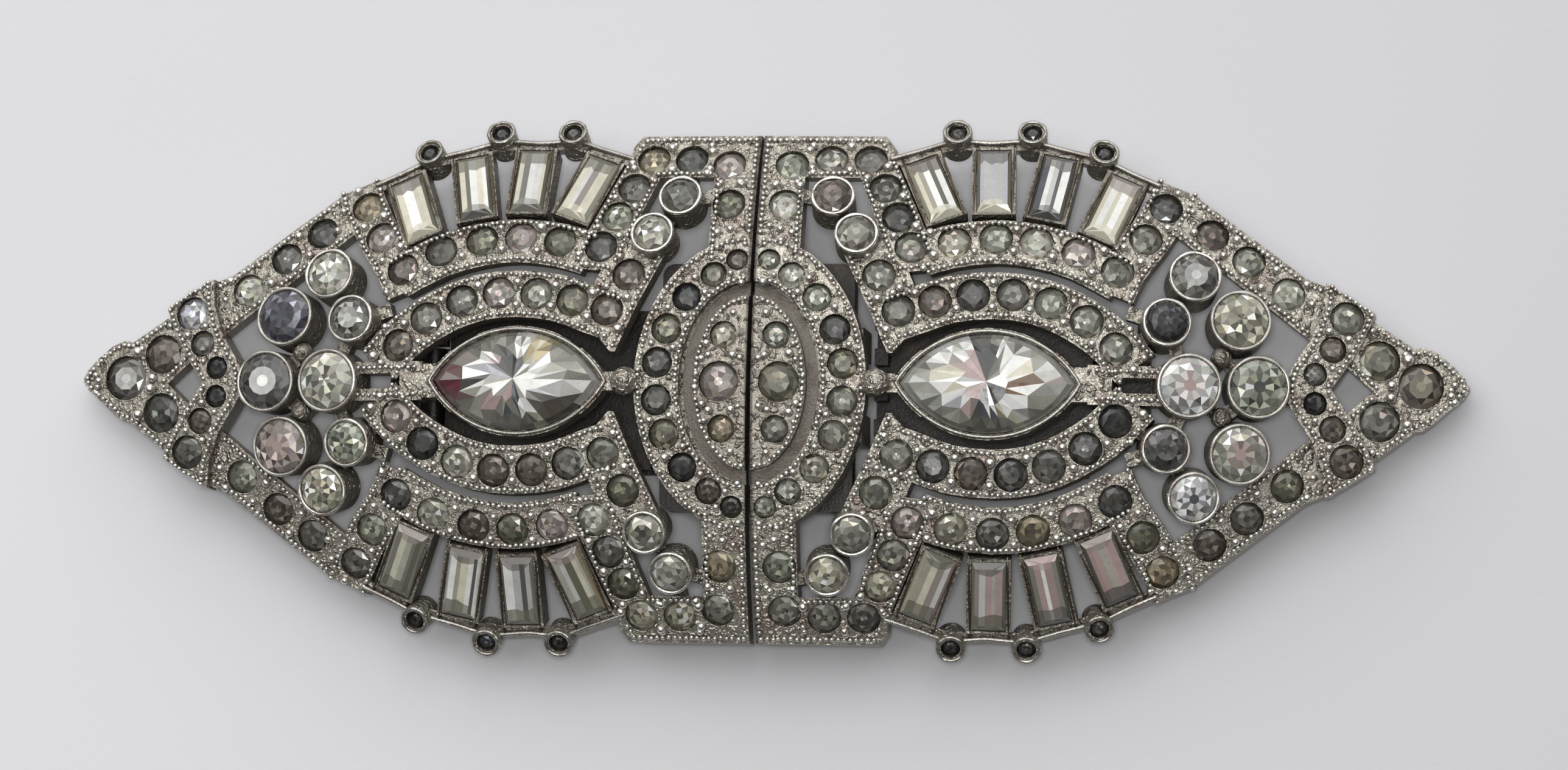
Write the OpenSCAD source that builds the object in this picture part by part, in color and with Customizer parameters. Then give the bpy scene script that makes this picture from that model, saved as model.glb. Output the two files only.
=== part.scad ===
// Double dress clip brooch in the Art Deco manner.
// Two mirrored cast clips hang side by side on one brooch frame.
// X runs along the brooch, Y across it and Z up from the table, in millimetres.
// The layout tables give one quarter of the front, and the rest is mirrored.

/* [Dome] */
// Height of the front of the castings at the middle
apex_z = 8.2; // [7:0.1:12]
// Radius of the front across the brooch
dome_r = 30; // [24:0.5:40]
// Fall of the inner part of each clip, in degrees
inner_fall = 4; // [2:0.5:10]
// Fall of the outer part of each clip, in degrees
outer_fall = 12; // [8:0.5:20]
// Distance from the middle where the fall changes
fall_x = 20; // [14:0.5:28]
// Thickness of the castings
cast_t = 1.6; // [1.4:0.1:2.6]

/* [Castings] */
// Half of the gap between the two clips
half_gap = 0.12; // [0.05:0.01:0.4]
// Turn of the left clip on the frame, in degrees, which opens the gap below
left_turn = -0.43; // [-1:0.01:1]
// Width of a band that carries one row of stones
band_w = 2.3; // [2:0.1:3]
// Half of the height of the brooch in plan
half_height = 15; // [13:0.1:16]
// Width of the vertical bar at the middle
bar_w = 2.6; // [2:0.1:3.2]
// Depth of the groove round the middle oval
groove_d = 0.6; // [0.2:0.1:1]
// Rise of the small cups above the castings
cup_rise = 0.7; // [0.2:0.1:1.2]
// Rise of the cross band near each tip
cross_rise = 0.5; // [0.2:0.1:1]
// Wall round the stone of a cup
cup_wall = 0.3; // [0.2:0.02:0.5]

/* [Stones] */
// Diameter of the stones in the bands
pave_d = 1.9; // [1.6:0.05:2.2]
// Clearance between a stone and its seat, all round
stone_gap = 0.05; // [0.03:0.01:0.15]
// Depth of the seats
seat_d = 0.85; // [0.8:0.05:1.3]
// Width of the rectangular stones
baguette_w = 1.95; // [1.6:0.05:2.4]
// Length of the rectangular stones
baguette_l = 4.2; // [3.6:0.1:5]
// Length of the pointed oval stone
marquise_l = 10.2; // [9:0.1:11]
// Width of the pointed oval stone
marquise_w = 5.8; // [5:0.1:6.6]
// Distance of the pointed oval stone from the middle
marquise_x = 13.85; // [13:0.05:15]

/* [Back] */
// Length of the spring flap of a clip
flap_l = 16.2; // [12:0.1:19]
// Width of the spring flap of a clip
flap_w = 9.8; // [8:0.1:11]
// Thickness of the flap
flap_t = 0.9; // [0.6:0.1:1.4]
// Width of the brooch frame along X
frame_w = 11.4; // [9:0.1:14]
// Length of the brooch frame along Y
frame_l = 14.6; // [11:0.1:17]
// Thickness of the bars of the frame
frame_bar = 1.5; // [1:0.1:2]
// Diameter of the pin stem
pin_d = 0.9; // [0.7:0.05:1.2]

/* [Hidden] */
fine = 120;
facets = 8;
cup_facets = 12;
link_w = 0.8;
flap_x = 6.6;
hinge_x = 20.15;
hinge_z = 0.8;
ear_y = 2.7;
frame_z = 3.3;
hook_y = 2.5;
pin_z = 1.5;
silver = [0.66, 0.64, 0.60];
tarnish = [0.22, 0.20, 0.19];
crystal = [0.80, 0.82, 0.80];
smoke = [0.50, 0.49, 0.46];
// columns of a band stone: name, x, y
PAVE = [
    ["top1", 1.9, 13.15], ["top2", 4.2, 13.5], ["top3", 6.5, 13.5], ["col1", 1.7, 10.65],
    ["dia1", 7.5, 11.7], ["dia2", 8.35, 9.9], ["dia3", 9.2, 8.05],
    ["inn1", 7.4, 6.35], ["eye1", 8.6, 4.25], ["eye2", 10.7, 4.8], ["eye3", 12.9, 5.2],
    ["eye4", 15.2, 5.25], ["eye5", 17.4, 4.75], ["eye6", 19.5, 3.7], ["eye7", 21.2, 2.1],
    ["arc1", 11.7, 8.4], ["arc2", 14.1, 8.65], ["arc3", 16.45, 8.45], ["arc4", 18.9, 7.8],
    ["arc5", 21.2, 6.7], ["end1", 22.75, 8.7], ["end2", 23.85, 10.65],
    ["side1", 26.55, 9.05], ["side2", 28.7, 7.5], ["side3", 31.0, 5.6]
];
// columns of a smaller or larger band stone: name, x, y, diameter
// a stone less than half a millimetre from the long axis has no twin below it
OTHER = [
    ["crs1", 34.3, 4.1, 1.95], ["crs2", 33.5, 2.28, 1.5], ["crs3", 32.5, 0.84, 1.3],
    ["tip1", 36.28, 1.77, 2.3], ["tip0", 38.65, 0.35, 2.6], ["inr1", 1.55, 2.75, 1.55],
    ["inr0", 1.75, 0, 2.3], ["rng1", 0.95, 7.25, 1.25],
    ["rng2", 2.3, 6.35, 1.5], ["rng3", 3.85, 5.0, 1.65], ["rng4", 4.95, 3.1, 1.75],
    ["rng5", 5.45, 1.1, 1.75]
];
// columns of a cup: name, x, y, outer radius
CUPS = [["cupA", 4.5, 10.85, 1.3], ["cupB", 6.0, 8.6, 1.3]];
KNOBS = [["knob1", 11.5, 14.9, 0.87], ["knob2", 15.9, 14.9, 0.87], ["knob3", 20.1, 13.7, 0.87]];
CLUSTER = [
    ["clA", 25.55, 6.3, 1.55], ["clB", 24.0, 3.6, 1.45], ["clC", 28.2, 3.8, 1.8],
    ["clD", 25.3, 0, 1.9], ["clE", 29.25, 0, 1.85]
];
// columns of a link between cups: x and y of one end, x and y of the other
LINKS = [
    [25.55, 6.3, 24.0, 3.6], [24.0, 3.6, 21.8, 4.3], [24.0, 3.6, 21.9, 2.2], [25.55, 6.3, 26.6, 8.4],
    [28.2, 3.8, 29.4, 5.9], [28.2, 3.8, 27.2, 1.75], [25.3, 0, 27.2, 1.75], [29.3, 0, 27.2, 1.75],
    [29.3, 0.5, 31.6, 0.5], [24.0, 3.6, 25.0, 1.2], [4.5, 10.85, 6.0, 8.6],
    [4.5, 10.85, 2.4, 11.3], [4.5, 10.85, 4.2, 12.7]
];
// columns of a rectangular stone: x, y, lean of its outer end away from the middle
BAGUETTES = [[10.3, 11.65, -22], [13.8, 12.15, -1], [17.25, 11.75, 12], [20.8, 10.5, 25]];
// columns of a curved band: its width, then the points of its middle line
BANDS = [
    [band_w + 0.5, [8.3, 3.8], [9.6, 4.25], [11.6, 4.95], [14.1, 5.2], [16.4, 4.95],
        [18.5, 4.15], [20.4, 2.95], [21.6, 1.8], [22.3, 1.0]],
    [band_w + 0.35, [9.9, 7.65], [11.6, 8.15], [14.1, 8.45], [16.5, 8.2], [18.9, 7.5],
        [21.4, 6.2]],
    [band_w + 0.3, [20.9, 5.3], [21.6, 6.9], [22.85, 8.7], [23.95, 10.65], [24.5, 11.9]],
    [0.65, [7.7, 13.35], [9.7, 13.98], [11.4, 14.5], [13.5, 14.4], [15.7, 14.5], [17.9, 13.95],
        [20.1, 13.35], [21.8, 12.55], [23.4, 11.85]]
];
// columns of a straight sided plate: the points of its outline
PLATES = [
    [[half_gap, 12.35], [half_gap, half_height], [7.3, half_height], [7.8, 14.3], [8.0, 12.9],
        [6.5, 12.35]],
    [[half_gap, 7.5], [half_gap, 13], [bar_w + half_gap, 13], [bar_w + half_gap, 7.0]],
    [[5.5, 13.4], [8.0, 13.4], [10.8, 7.4], [10.6, 6.75], [8.35, 6.5]],
    [[5.0, 8.2], [6.9, 4.3], [8.0, 1.75], [8.3, 1.75], [10.2, 4.0], [9.1, 6.6], [7.1, 8.9]],
    [[25.7, 11.3], [24.4, 9.0], [32.4, 2.8], [33.6, 5.9], [32.0, 6.55]],
    [[35.0, 5.0], [33.9, 4.6], [34.4, 1.35], [35.9, 0], [37.5, 0], [37.5, 2.9], [36.1, 3.9]],
    [[19.6, 1.15], [19.6, 0.45], [24.2, 0.45], [24.2, 1.15]]
];
// the raised cross band of one half, inner side first
CROSS = [[33.15, 6.25], [33.0, 4.7], [32.4, 3.0], [31.5, 1.6], [31.05, 0.8], [30.95, 0], [33.5, 0],
    [34.05, 0.8], [34.7, 1.75], [35.3, 2.85], [35.75, 3.8], [36.0, 4.5], [34.95, 5.2]];
// the tip, a little off the long axis
TIP = [[36.1, 3.95], [37.1, 3.28], [38.3, 2.5], [38.75, 2.65], [39.6, 2.3], [40.5, 1.55],
    [41.2, 0.8], [41.45, 0.25], [41.1, -0.3], [40.2, -1.05], [39.3, -1.85], [38.7, -2.25],
    [38.3, -2.3], [37.1, -3.2], [36.1, -3.95], [36.6, 0]];

// Height of the front at a point, from the two cylinders that make the dome
function edge_drop(y) = dome_r - sqrt(dome_r * dome_r - y * y);
function inner_z(x, y) = apex_z - x * tan(inner_fall) - edge_drop(y) / cos(inner_fall);
function outer_z(x, y) = apex_z - fall_x * tan(inner_fall) - (x - fall_x) * tan(outer_fall)
    - edge_drop(y) / cos(outer_fall);
function front_z(x, y) = min(inner_z(x, y), outer_z(x, y));
function fall(x, y) = outer_z(x, y) < inner_z(x, y) ? outer_fall : inner_fall;

// Smooth points along a middle line, then the outline of a band of one width
function unit(v) = v / norm(v);
function curve_at(a, b, c, d, t) = 0.5 * ((2 * b) + (c - a) * t + (2 * a - 5 * b + 4 * c - d) * t * t
    + (3 * b - a - 3 * c + d) * t * t * t);
function smooth(p) = let (n = len(p)) [
    for (i = [0:n - 2]) for (t = [0:1]) curve_at(
        p[max(i - 1, 0)], p[i], p[i + 1], p[min(i + 2, n - 1)], t / 2),
    p[n - 1]
];
function side_of(p, i) = let (d = unit(p[min(i + 1, len(p) - 1)] - p[max(i - 1, 0)])) [-d[1], d[0]];
function band_outline(p, w) = concat(
    [for (i = [0:len(p) - 1]) p[i] + side_of(p, i) * w / 2],
    [for (i = [len(p) - 1:-1:0]) p[i] - side_of(p, i) * w / 2]
);

// Points of a pointed oval, from the two circles whose common part it is
function oval_points(l, w, n) = let (
    r = (l * l + w * w) / (4 * w),
    half = asin(l / 2 / r)
) concat(
    [for (i = [0:n - 1]) let (a = -half + 2 * half * i / n) [r * sin(a), r * cos(a) - r + w / 2]],
    [for (i = [0:n - 1]) let (a = half - 2 * half * i / n) [r * sin(a), r - w / 2 - r * cos(a)]]
);

// The solid under the front, raised or lowered by an offset
module dome(offset_z) {
    intersection() {
        translate([0, 0, apex_z])
            rotate([0, inner_fall, 0])
                translate([0, 0, -dome_r])
                    rotate([0, 90, 0])
                        cylinder(h = 160, r = dome_r + offset_z, center = true, $fn = fine * 2);
        translate([fall_x, 0, apex_z - fall_x * tan(inner_fall)])
            rotate([0, outer_fall, 0])
                translate([0, 0, -dome_r])
                    rotate([0, 90, 0])
                        cylinder(h = 160, r = dome_r + offset_z, center = true, $fn = fine * 2);
    }
}

// Puts a part on the front at a point, square to the surface
module on_dome(x, y) {
    translate([x, y, front_z(x, y)])
        rotate([0, fall(x, y), 0])
            rotate([-asin(y / dome_r), 0, 0])
                children();
}

module both_halves() {
    children();
    mirror([0, 1, 0])
        children();
}

module ring_plate() {
    // the oval round the middle, as half of an ellipse with its groove left in
    polygon([
        for (i = [0:24]) let (a = -90 + 180 * i / 24)
            [half_gap + 6.7 * cos(a), 8.7 * sin(a)]
    ]);
}

module groove_plate() {
    polygon([
        for (i = [0:20]) let (a = -90 + 180 * i / 20) [half_gap + 4.05 * cos(a), 5.95 * sin(a)],
        for (i = [20:-1:0]) let (a = -90 + 180 * i / 20) [half_gap + 3.2 * cos(a), 5.1 * sin(a)]
    ]);
}

module front_plan() {
    ring_plate();
    both_halves() {
        for (p = PLATES)
            polygon(p);
        for (b = BANDS)
            polygon(band_outline(smooth([for (i = [1:len(b) - 1]) b[i]]), b[0]));
        polygon(CROSS);
    }
    polygon(TIP);
    translate([marquise_x, 0])
        polygon(oval_points(marquise_l + 0.9, marquise_w + 0.75, 14));
    translate([6.4, -0.55])
        square([2.6, 1.1]);
    translate([18.6, -1.0])
        square([2.4, 2.0]);
}

// Openings that are cut back out of the plan
module front_openings() {
    both_halves() {
        polygon([[5.0, 12.3], [6.0, 12.3], [7.15, 9.5], [6.9, 9.0], [6.1, 9.8], [5.4, 10.8]]);
        polygon(band_outline(smooth([[9.9, 2.1], [11.5, 3.1], [13.85, 3.55], [16.2, 3.1],
            [17.9, 2.0]]), 0.5));
    }
}

module cups(table, top, bottom) {
    for (c = table, s = c[2] > 0 ? [1, -1] : [1])
        on_dome(c[1], s * c[2])
            translate([0, 0, bottom])
                cylinder(h = top - bottom, r = c[3], $fn = 48);
}

module cup_seats(table, top) {
    for (c = table, s = c[2] > 0 ? [1, -1] : [1])
        on_dome(c[1], s * c[2])
            translate([0, 0, top - seat_d])
                cylinder(h = 3, r = c[3] - cup_wall, $fn = 36);
}

module band_seats() {
    for (p = PAVE, s = [1, -1])
        on_dome(p[1], s * p[2])
            translate([0, 0, level_of(p[0]) - seat_d])
                cylinder(h = 3, d = pave_d + 2 * stone_gap, $fn = 36);
    for (p = OTHER, s = p[2] > 0.5 ? [1, -1] : [1])
        on_dome(p[1], s * p[2])
            translate([0, 0, level_of(p[0]) - seat_d])
                cylinder(h = 3, d = p[3] + 2 * stone_gap, $fn = 36);
}
function level_of(name) = name[0] == "c" && name[1] == "r" ? cross_rise : 0;

module baguette_box(i, w, l, z0, z1) {
    b = BAGUETTES[i % 4];
    s = i < 4 ? 1 : -1;
    on_dome(b[0], s * b[1])
        rotate([0, 0, -s * b[2]])
            translate([-w / 2, -l / 2, z0])
                cube([w, l, z1 - z0]);
}

module half_casting() {
    difference() {
        union() {
            difference() {
                intersection() {
                    linear_extrude(20)
                        difference() {
                            front_plan();
                            front_openings();
                        }
                    dome(0);
                }
                intersection() {
                    linear_extrude(20)
                        groove_plate();
                    translate([0, 0, 20])
                        cube(40, center = true);
                    difference() {
                        dome(2);
                        dome(-groove_d);
                    }
                }
            }
            intersection() {
                linear_extrude(20)
                    both_halves()
                        polygon(CROSS);
                dome(cross_rise);
            }
            for (i = [0:7])
                baguette_box(i, baguette_w + 0.6, baguette_l + 0.4, -1.2, 0.1);
            cups(CUPS, cup_rise, -1.1);
            cups(KNOBS, cup_rise - 0.1, -1.1);
            cups(CLUSTER, cup_rise, -1.4);
            intersection() {
                linear_extrude(20)
                    both_halves()
                        for (k = LINKS)
                            polygon(band_outline([[k[0], k[1]], [k[2], k[3]]], link_w));
                dome(-0.3);
            }
            for (s = [1, -1])
                on_dome(27.2, s * 1.75)
                    sphere(r = 0.6, $fn = 24);
            on_dome(7.35, 0)
                sphere(r = 0.85, $fn = 24);
        }
        dome(-cast_t);
        band_seats();
        cup_seats(CUPS, cup_rise);
        cup_seats(KNOBS, cup_rise - 0.1);
        cup_seats(CLUSTER, cup_rise);
        for (i = [0:7])
            baguette_box(i, baguette_w + 2 * stone_gap, baguette_l + 2 * stone_gap, -0.75, 2);
        on_dome(marquise_x, 0)
            translate([0, 0, -1.1])
                linear_extrude(4)
                    polygon(oval_points(marquise_l + 2 * stone_gap, marquise_w + 2 * stone_gap, 12));
    }
}

// The left clip is the right one mirrored, and hangs a little turned
module on_left() {
    translate([-0.04, 0, 0])
        rotate([0, 0, left_turn])
            mirror([1, 0, 0])
                children();
}

module ears_and_hooks() {
    for (s = [1, -1]) {
        translate([hinge_x - 0.75, s > 0 ? ear_y : -ear_y - 1, 0.15])
            cube([1.5, 1, 5.3]);
        translate([frame_w / 2 + 0.15, s * hook_y - 0.9, frame_z - 0.75])
            cube([0.6, 1.8, 3.9]);
        translate([frame_w / 2 - 1.6, s * hook_y - 0.9, frame_z - 0.75])
            cube([2.35, 1.8, 0.6]);
    }
}

module whole_casting() {
    color(silver)
        union() {
            half_casting();
            ears_and_hooks();
        }
}

// A cut stone: a flat back, a widest line and a table turned by half a step
function ring(n, r, z, turn) = [for (i = [0:n - 1]) [r * cos(360 * (i + turn) / n),
    r * sin(360 * (i + turn) / n), z]];
function flat_face(n, first, up) = [for (i = [0:n - 1]) first + (up ? n - 1 - i : i)];
function wall(n, a, b) = [for (i = [0:n - 1]) [a + i, b + i, b + (i + 1) % n, a + (i + 1) % n]];
function star(n, a, b) = concat(
    [for (i = [0:n - 1]) [a + i, b + i, a + (i + 1) % n]],
    [for (i = [0:n - 1]) [a + (i + 1) % n, b + i, b + (i + 1) % n]]
);

module round_stone(d, n, deep) {
    polyhedron(
        points = concat(
            ring(n, d * 0.3, -deep, 0), ring(n, d / 2, -0.15, 0), ring(n, d * 0.27, 0.1, 0.5)
        ),
        faces = concat([flat_face(n, 0, false)], wall(n, 0, n), star(n, n, 2 * n),
            [flat_face(n, 2 * n, true)])
    );
}

function frame_ring(w, l, z) = [[-w / 2, -l / 2, z], [w / 2, -l / 2, z], [w / 2, l / 2, z],
    [-w / 2, l / 2, z]];

module baguette_stone() {
    w = baguette_w;
    l = baguette_l;
    polyhedron(
        points = concat(frame_ring(w - 0.7, l - 0.7, -0.7), frame_ring(w, l, -0.12),
            frame_ring(w - 0.5, l - 0.6, 0.1), frame_ring(w - 1.1, l - 1.3, 0.25)),
        faces = concat([flat_face(4, 0, false)], wall(4, 0, 4), wall(4, 4, 8), wall(4, 8, 12),
            [flat_face(4, 12, true)])
    );
}

module placed_baguette(i) {
    b = BAGUETTES[i % 4];
    s = i < 4 ? 1 : -1;
    color(crystal)
        on_dome(b[0], s * b[1])
            rotate([0, 0, -s * b[2]])
                baguette_stone();
}

function at_z(p, z) = [for (q = p) [q[0], q[1], z]];

module marquise_stone() {
    n = 8;
    color(crystal)
        on_dome(marquise_x, 0)
            polyhedron(
                points = concat(
                    at_z(oval_points(marquise_l * 0.6, marquise_w * 0.6, n), -1.05),
                    at_z(oval_points(marquise_l, marquise_w, n), -0.1),
                    at_z(oval_points(marquise_l * 0.74, marquise_w * 0.74, n), 0.75),
                    at_z(oval_points(marquise_l * 0.42, marquise_w * 0.42, n), 1.05)
                ),
                faces = concat([flat_face(2 * n, 0, true)], wall_down(2 * n, 0, 2 * n),
                    wall_down(2 * n, 2 * n, 4 * n), wall_down(2 * n, 4 * n, 6 * n),
                    [flat_face(2 * n, 6 * n, false)])
            );
}
function wall_down(n, a, b) = [for (i = [0:n - 1]) [a + i, a + (i + 1) % n, b + (i + 1) % n, b + i]];

module band_stones() {
    color(smoke) {
        for (p = PAVE, s = [1, -1])
            on_dome(p[1], s * p[2])
                translate([0, 0, level_of(p[0])])
                    round_stone(pave_d, facets, seat_d - stone_gap);
        for (p = OTHER, s = p[2] > 0.5 ? [1, -1] : [1])
            on_dome(p[1], s * p[2])
                translate([0, 0, level_of(p[0])])
                    round_stone(p[3], facets, seat_d - stone_gap);
    }
}

module stones_of(table, top, n) {
    for (c = table, s = c[2] > 0 ? [1, -1] : [1])
        on_dome(c[1], s * c[2])
            translate([0, 0, top])
                round_stone(2 * (c[3] - cup_wall - stone_gap), n, seat_d - stone_gap);
}

module cluster_stone(i) {
    c = CLUSTER[i < 5 ? i : 7 - i];
    s = i < 5 ? 1 : -1;
    color(crystal)
        on_dome(c[1], s * c[2])
            translate([0, 0, cup_rise])
                round_stone(2 * (c[3] - cup_wall - stone_gap), cup_facets, seat_d - stone_gap);
}

module flap() {
    color(tarnish)
        union() {
            translate([flap_x, -flap_w / 2, 0])
                cube([12.6, flap_w, flap_t]);
            translate([flap_x + 12, -ear_y + 0.2, 0])
                cube([flap_l - 12, 2 * ear_y - 0.4, flap_t]);
            translate([hinge_x, 0, hinge_z])
                rotate([90, 0, 0])
                    cylinder(h = 2 * ear_y - 0.4, r = 0.75, center = true, $fn = 32);
            for (i = [-2:2])
                translate([flap_x, i * 2.1 - 0.5, 0])
                    cube([0.8, 1, 2.2]);
        }
}

module frame_bars() {
    reach_y = frame_l / 2 - frame_bar / 2;
    reach_x = frame_w / 2 - frame_bar / 2;
    for (s = [1, -1]) {
        translate([s * reach_x - frame_bar / 2, -reach_y, frame_z])
            cube([frame_bar, 2 * reach_y, frame_bar]);
        translate([-reach_x, s * reach_y - frame_bar / 2, frame_z])
            cube([2 * reach_x, frame_bar, frame_bar]);
        for (t = [1, -1])
            translate([s * reach_x, t * reach_y, frame_z])
                cylinder(h = frame_bar, d = frame_bar, $fn = 32);
    }
}

module hinge_block() {
    difference() {
        translate([-frame_w / 2, -1.2, 0.5])
            cube([frame_bar, 2.4, frame_z - 0.4]);
        translate([-frame_w / 2 + 0.6, 0, pin_z])
            rotate([0, 90, 0])
                cylinder(h = 3, d = pin_d + 0.3, $fn = 32);
    }
}

module catch_block() {
    difference() {
        translate([frame_w / 2 - frame_bar, -1.2, 0.5])
            cube([frame_bar, 2.4, frame_z - 0.4]);
        translate([frame_w / 2 - frame_bar - 0.5, -2, pin_z - 0.6])
            cube([frame_bar + 1, 2.6, 1.2]);
    }
}

module right_casting() {
    whole_casting();
}
module left_casting() {
    on_left()
        whole_casting();
}
module right_marquise() {
    marquise_stone();
}
module left_marquise() {
    on_left()
        marquise_stone();
}
module right_band_stones() {
    band_stones();
}
module left_band_stones() {
    on_left()
        band_stones();
}
module right_cup_stones() {
    color(crystal)
        stones_of(CUPS, cup_rise, facets);
}
module left_cup_stones() {
    on_left()
        right_cup_stones();
}
module right_knob_stones() {
    color(smoke)
        stones_of(KNOBS, cup_rise - 0.1, facets);
}
module left_knob_stones() {
    on_left()
        right_knob_stones();
}
module right_flap() {
    flap();
}
module left_flap() {
    on_left()
        flap();
}
module brooch_frame() {
    color(tarnish)
        union() {
            frame_bars();
            hinge_block();
            catch_block();
        }
}
module pin_stem() {
    color([0.55, 0.53, 0.50])
        translate([-frame_w / 2 + 0.75, 0, pin_z])
            rotate([0, 90, 0])
                cylinder(h = frame_w - 1, d = pin_d, $fn = 32);
}

module right_baguette_1() {
    placed_baguette(0);
}
module right_baguette_2() {
    placed_baguette(1);
}
module right_baguette_3() {
    placed_baguette(2);
}
module right_baguette_4() {
    placed_baguette(3);
}
module right_baguette_5() {
    placed_baguette(4);
}
module right_baguette_6() {
    placed_baguette(5);
}
module right_baguette_7() {
    placed_baguette(6);
}
module right_baguette_8() {
    placed_baguette(7);
}
module right_cluster_1() {
    cluster_stone(0);
}
module right_cluster_2() {
    cluster_stone(1);
}
module right_cluster_3() {
    cluster_stone(2);
}
module right_cluster_4() {
    cluster_stone(3);
}
module right_cluster_5() {
    cluster_stone(4);
}
module right_cluster_6() {
    cluster_stone(5);
}
module right_cluster_7() {
    cluster_stone(6);
}
module right_cluster_8() {
    cluster_stone(7);
}
module left_baguette_1() {
    on_left()
        placed_baguette(0);
}
module left_baguette_2() {
    on_left()
        placed_baguette(1);
}
module left_baguette_3() {
    on_left()
        placed_baguette(2);
}
module left_baguette_4() {
    on_left()
        placed_baguette(3);
}
module left_baguette_5() {
    on_left()
        placed_baguette(4);
}
module left_baguette_6() {
    on_left()
        placed_baguette(5);
}
module left_baguette_7() {
    on_left()
        placed_baguette(6);
}
module left_baguette_8() {
    on_left()
        placed_baguette(7);
}
module left_cluster_1() {
    on_left()
        cluster_stone(0);
}
module left_cluster_2() {
    on_left()
        cluster_stone(1);
}
module left_cluster_3() {
    on_left()
        cluster_stone(2);
}
module left_cluster_4() {
    on_left()
        cluster_stone(3);
}
module left_cluster_5() {
    on_left()
        cluster_stone(4);
}
module left_cluster_6() {
    on_left()
        cluster_stone(5);
}
module left_cluster_7() {
    on_left()
        cluster_stone(6);
}
module left_cluster_8() {
    on_left()
        cluster_stone(7);
}

right_casting();
left_casting();
right_marquise();
left_marquise();
right_band_stones();
left_band_stones();
right_cup_stones();
left_cup_stones();
right_knob_stones();
left_knob_stones();
right_baguette_1();
right_baguette_2();
right_baguette_3();
right_baguette_4();
right_baguette_5();
right_baguette_6();
right_baguette_7();
right_baguette_8();
right_cluster_1();
right_cluster_2();
right_cluster_3();
right_cluster_4();
right_cluster_5();
right_cluster_6();
right_cluster_7();
right_cluster_8();
left_baguette_1();
left_baguette_2();
left_baguette_3();
left_baguette_4();
left_baguette_5();
left_baguette_6();
left_baguette_7();
left_baguette_8();
left_cluster_1();
left_cluster_2();
left_cluster_3();
left_cluster_4();
left_cluster_5();
left_cluster_6();
left_cluster_7();
left_cluster_8();
right_flap();
left_flap();
brooch_frame();
pin_stem();
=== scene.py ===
"""Double dress clip brooch: two mirrored cast clips set with old foiled glass stones.

The castings, the spring flaps, the brooch frame and the pin come from the frame and get
their finishes here. The stones are cut again with more facets, and the grained edges, the
grains between the stones, the seat walls, the cup rims, the stone walls and the rails are
added. Sizes in the tables are millimetres on the front of the right clip.
"""

import bpy
import numpy as np
from mathutils import Matrix, Vector


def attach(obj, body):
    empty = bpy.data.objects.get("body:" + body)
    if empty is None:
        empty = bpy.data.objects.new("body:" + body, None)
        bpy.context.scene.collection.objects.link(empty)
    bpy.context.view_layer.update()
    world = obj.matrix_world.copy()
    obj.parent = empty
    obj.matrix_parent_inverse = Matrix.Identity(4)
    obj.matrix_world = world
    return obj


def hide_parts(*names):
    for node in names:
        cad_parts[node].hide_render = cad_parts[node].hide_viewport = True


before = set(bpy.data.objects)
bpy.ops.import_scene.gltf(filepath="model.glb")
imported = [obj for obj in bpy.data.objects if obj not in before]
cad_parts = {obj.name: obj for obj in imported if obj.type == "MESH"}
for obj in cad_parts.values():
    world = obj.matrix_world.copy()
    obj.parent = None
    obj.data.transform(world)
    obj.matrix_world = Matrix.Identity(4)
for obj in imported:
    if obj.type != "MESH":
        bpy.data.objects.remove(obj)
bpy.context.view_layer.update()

bl_info = {
    "name": "Double dress clip",
    "version": (1, 0, 0),
    "blender": (4, 5, 0),
    "location": "View3D > Sidebar > Dress clip",
    "description": "Dresses the double dress clip: metal, grained edges, stones and stage",
    "category": "Object",
}

MM = 0.001
SIDES = ("right", "left")

# Layout tables

# the usual diameter of a stone of the bands, and its rise above the front
CHATON = (1.9, 0)
# a stone of the bands: x, y, then its diameter and its rise where they aren't the usual ones
BAND_STONES = {
    "top1": (1.9, 13.15), "top2": (4.2, 13.5), "top3": (6.5, 13.5), "col1": (1.7, 10.65),
    "dia1": (7.5, 11.7), "dia2": (8.35, 9.9), "dia3": (9.2, 8.05), "inn1": (7.4, 6.35),
    "eye1": (8.6, 4.25), "eye2": (10.7, 4.8), "eye3": (12.9, 5.2), "eye4": (15.2, 5.25),
    "eye5": (17.4, 4.75), "eye6": (19.5, 3.7), "eye7": (21.2, 2.1), "arc1": (11.7, 8.4),
    "arc2": (14.1, 8.65), "arc3": (16.45, 8.45), "arc4": (18.9, 7.8), "arc5": (21.2, 6.7),
    "end1": (22.75, 8.7), "end2": (23.85, 10.65), "side1": (26.55, 9.05), "side2": (28.7, 7.5),
    "side3": (31.0, 5.6), "crs1": (34.3, 4.1, 1.95, 0.5), "crs2": (33.5, 2.28, 1.5, 0.5),
    "crs3": (32.5, 0.84, 1.3, 0.5), "tip1": (36.28, 1.77, 2.3), "tip0": (38.65, 0.35, 2.6),
    "inr1": (1.55, 2.75, 1.55), "inr0": (1.75, 0, 2.3), "rng1": (0.95, 7.25, 1.25),
    "rng2": (2.3, 6.35, 1.5), "rng3": (3.85, 5.0, 1.65), "rng4": (4.95, 3.1, 1.75),
    "rng5": (5.45, 1.1, 1.75),
}
BAND_STONES = {name: row + CHATON[len(row) - 2:] for name, row in BAND_STONES.items()}
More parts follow.
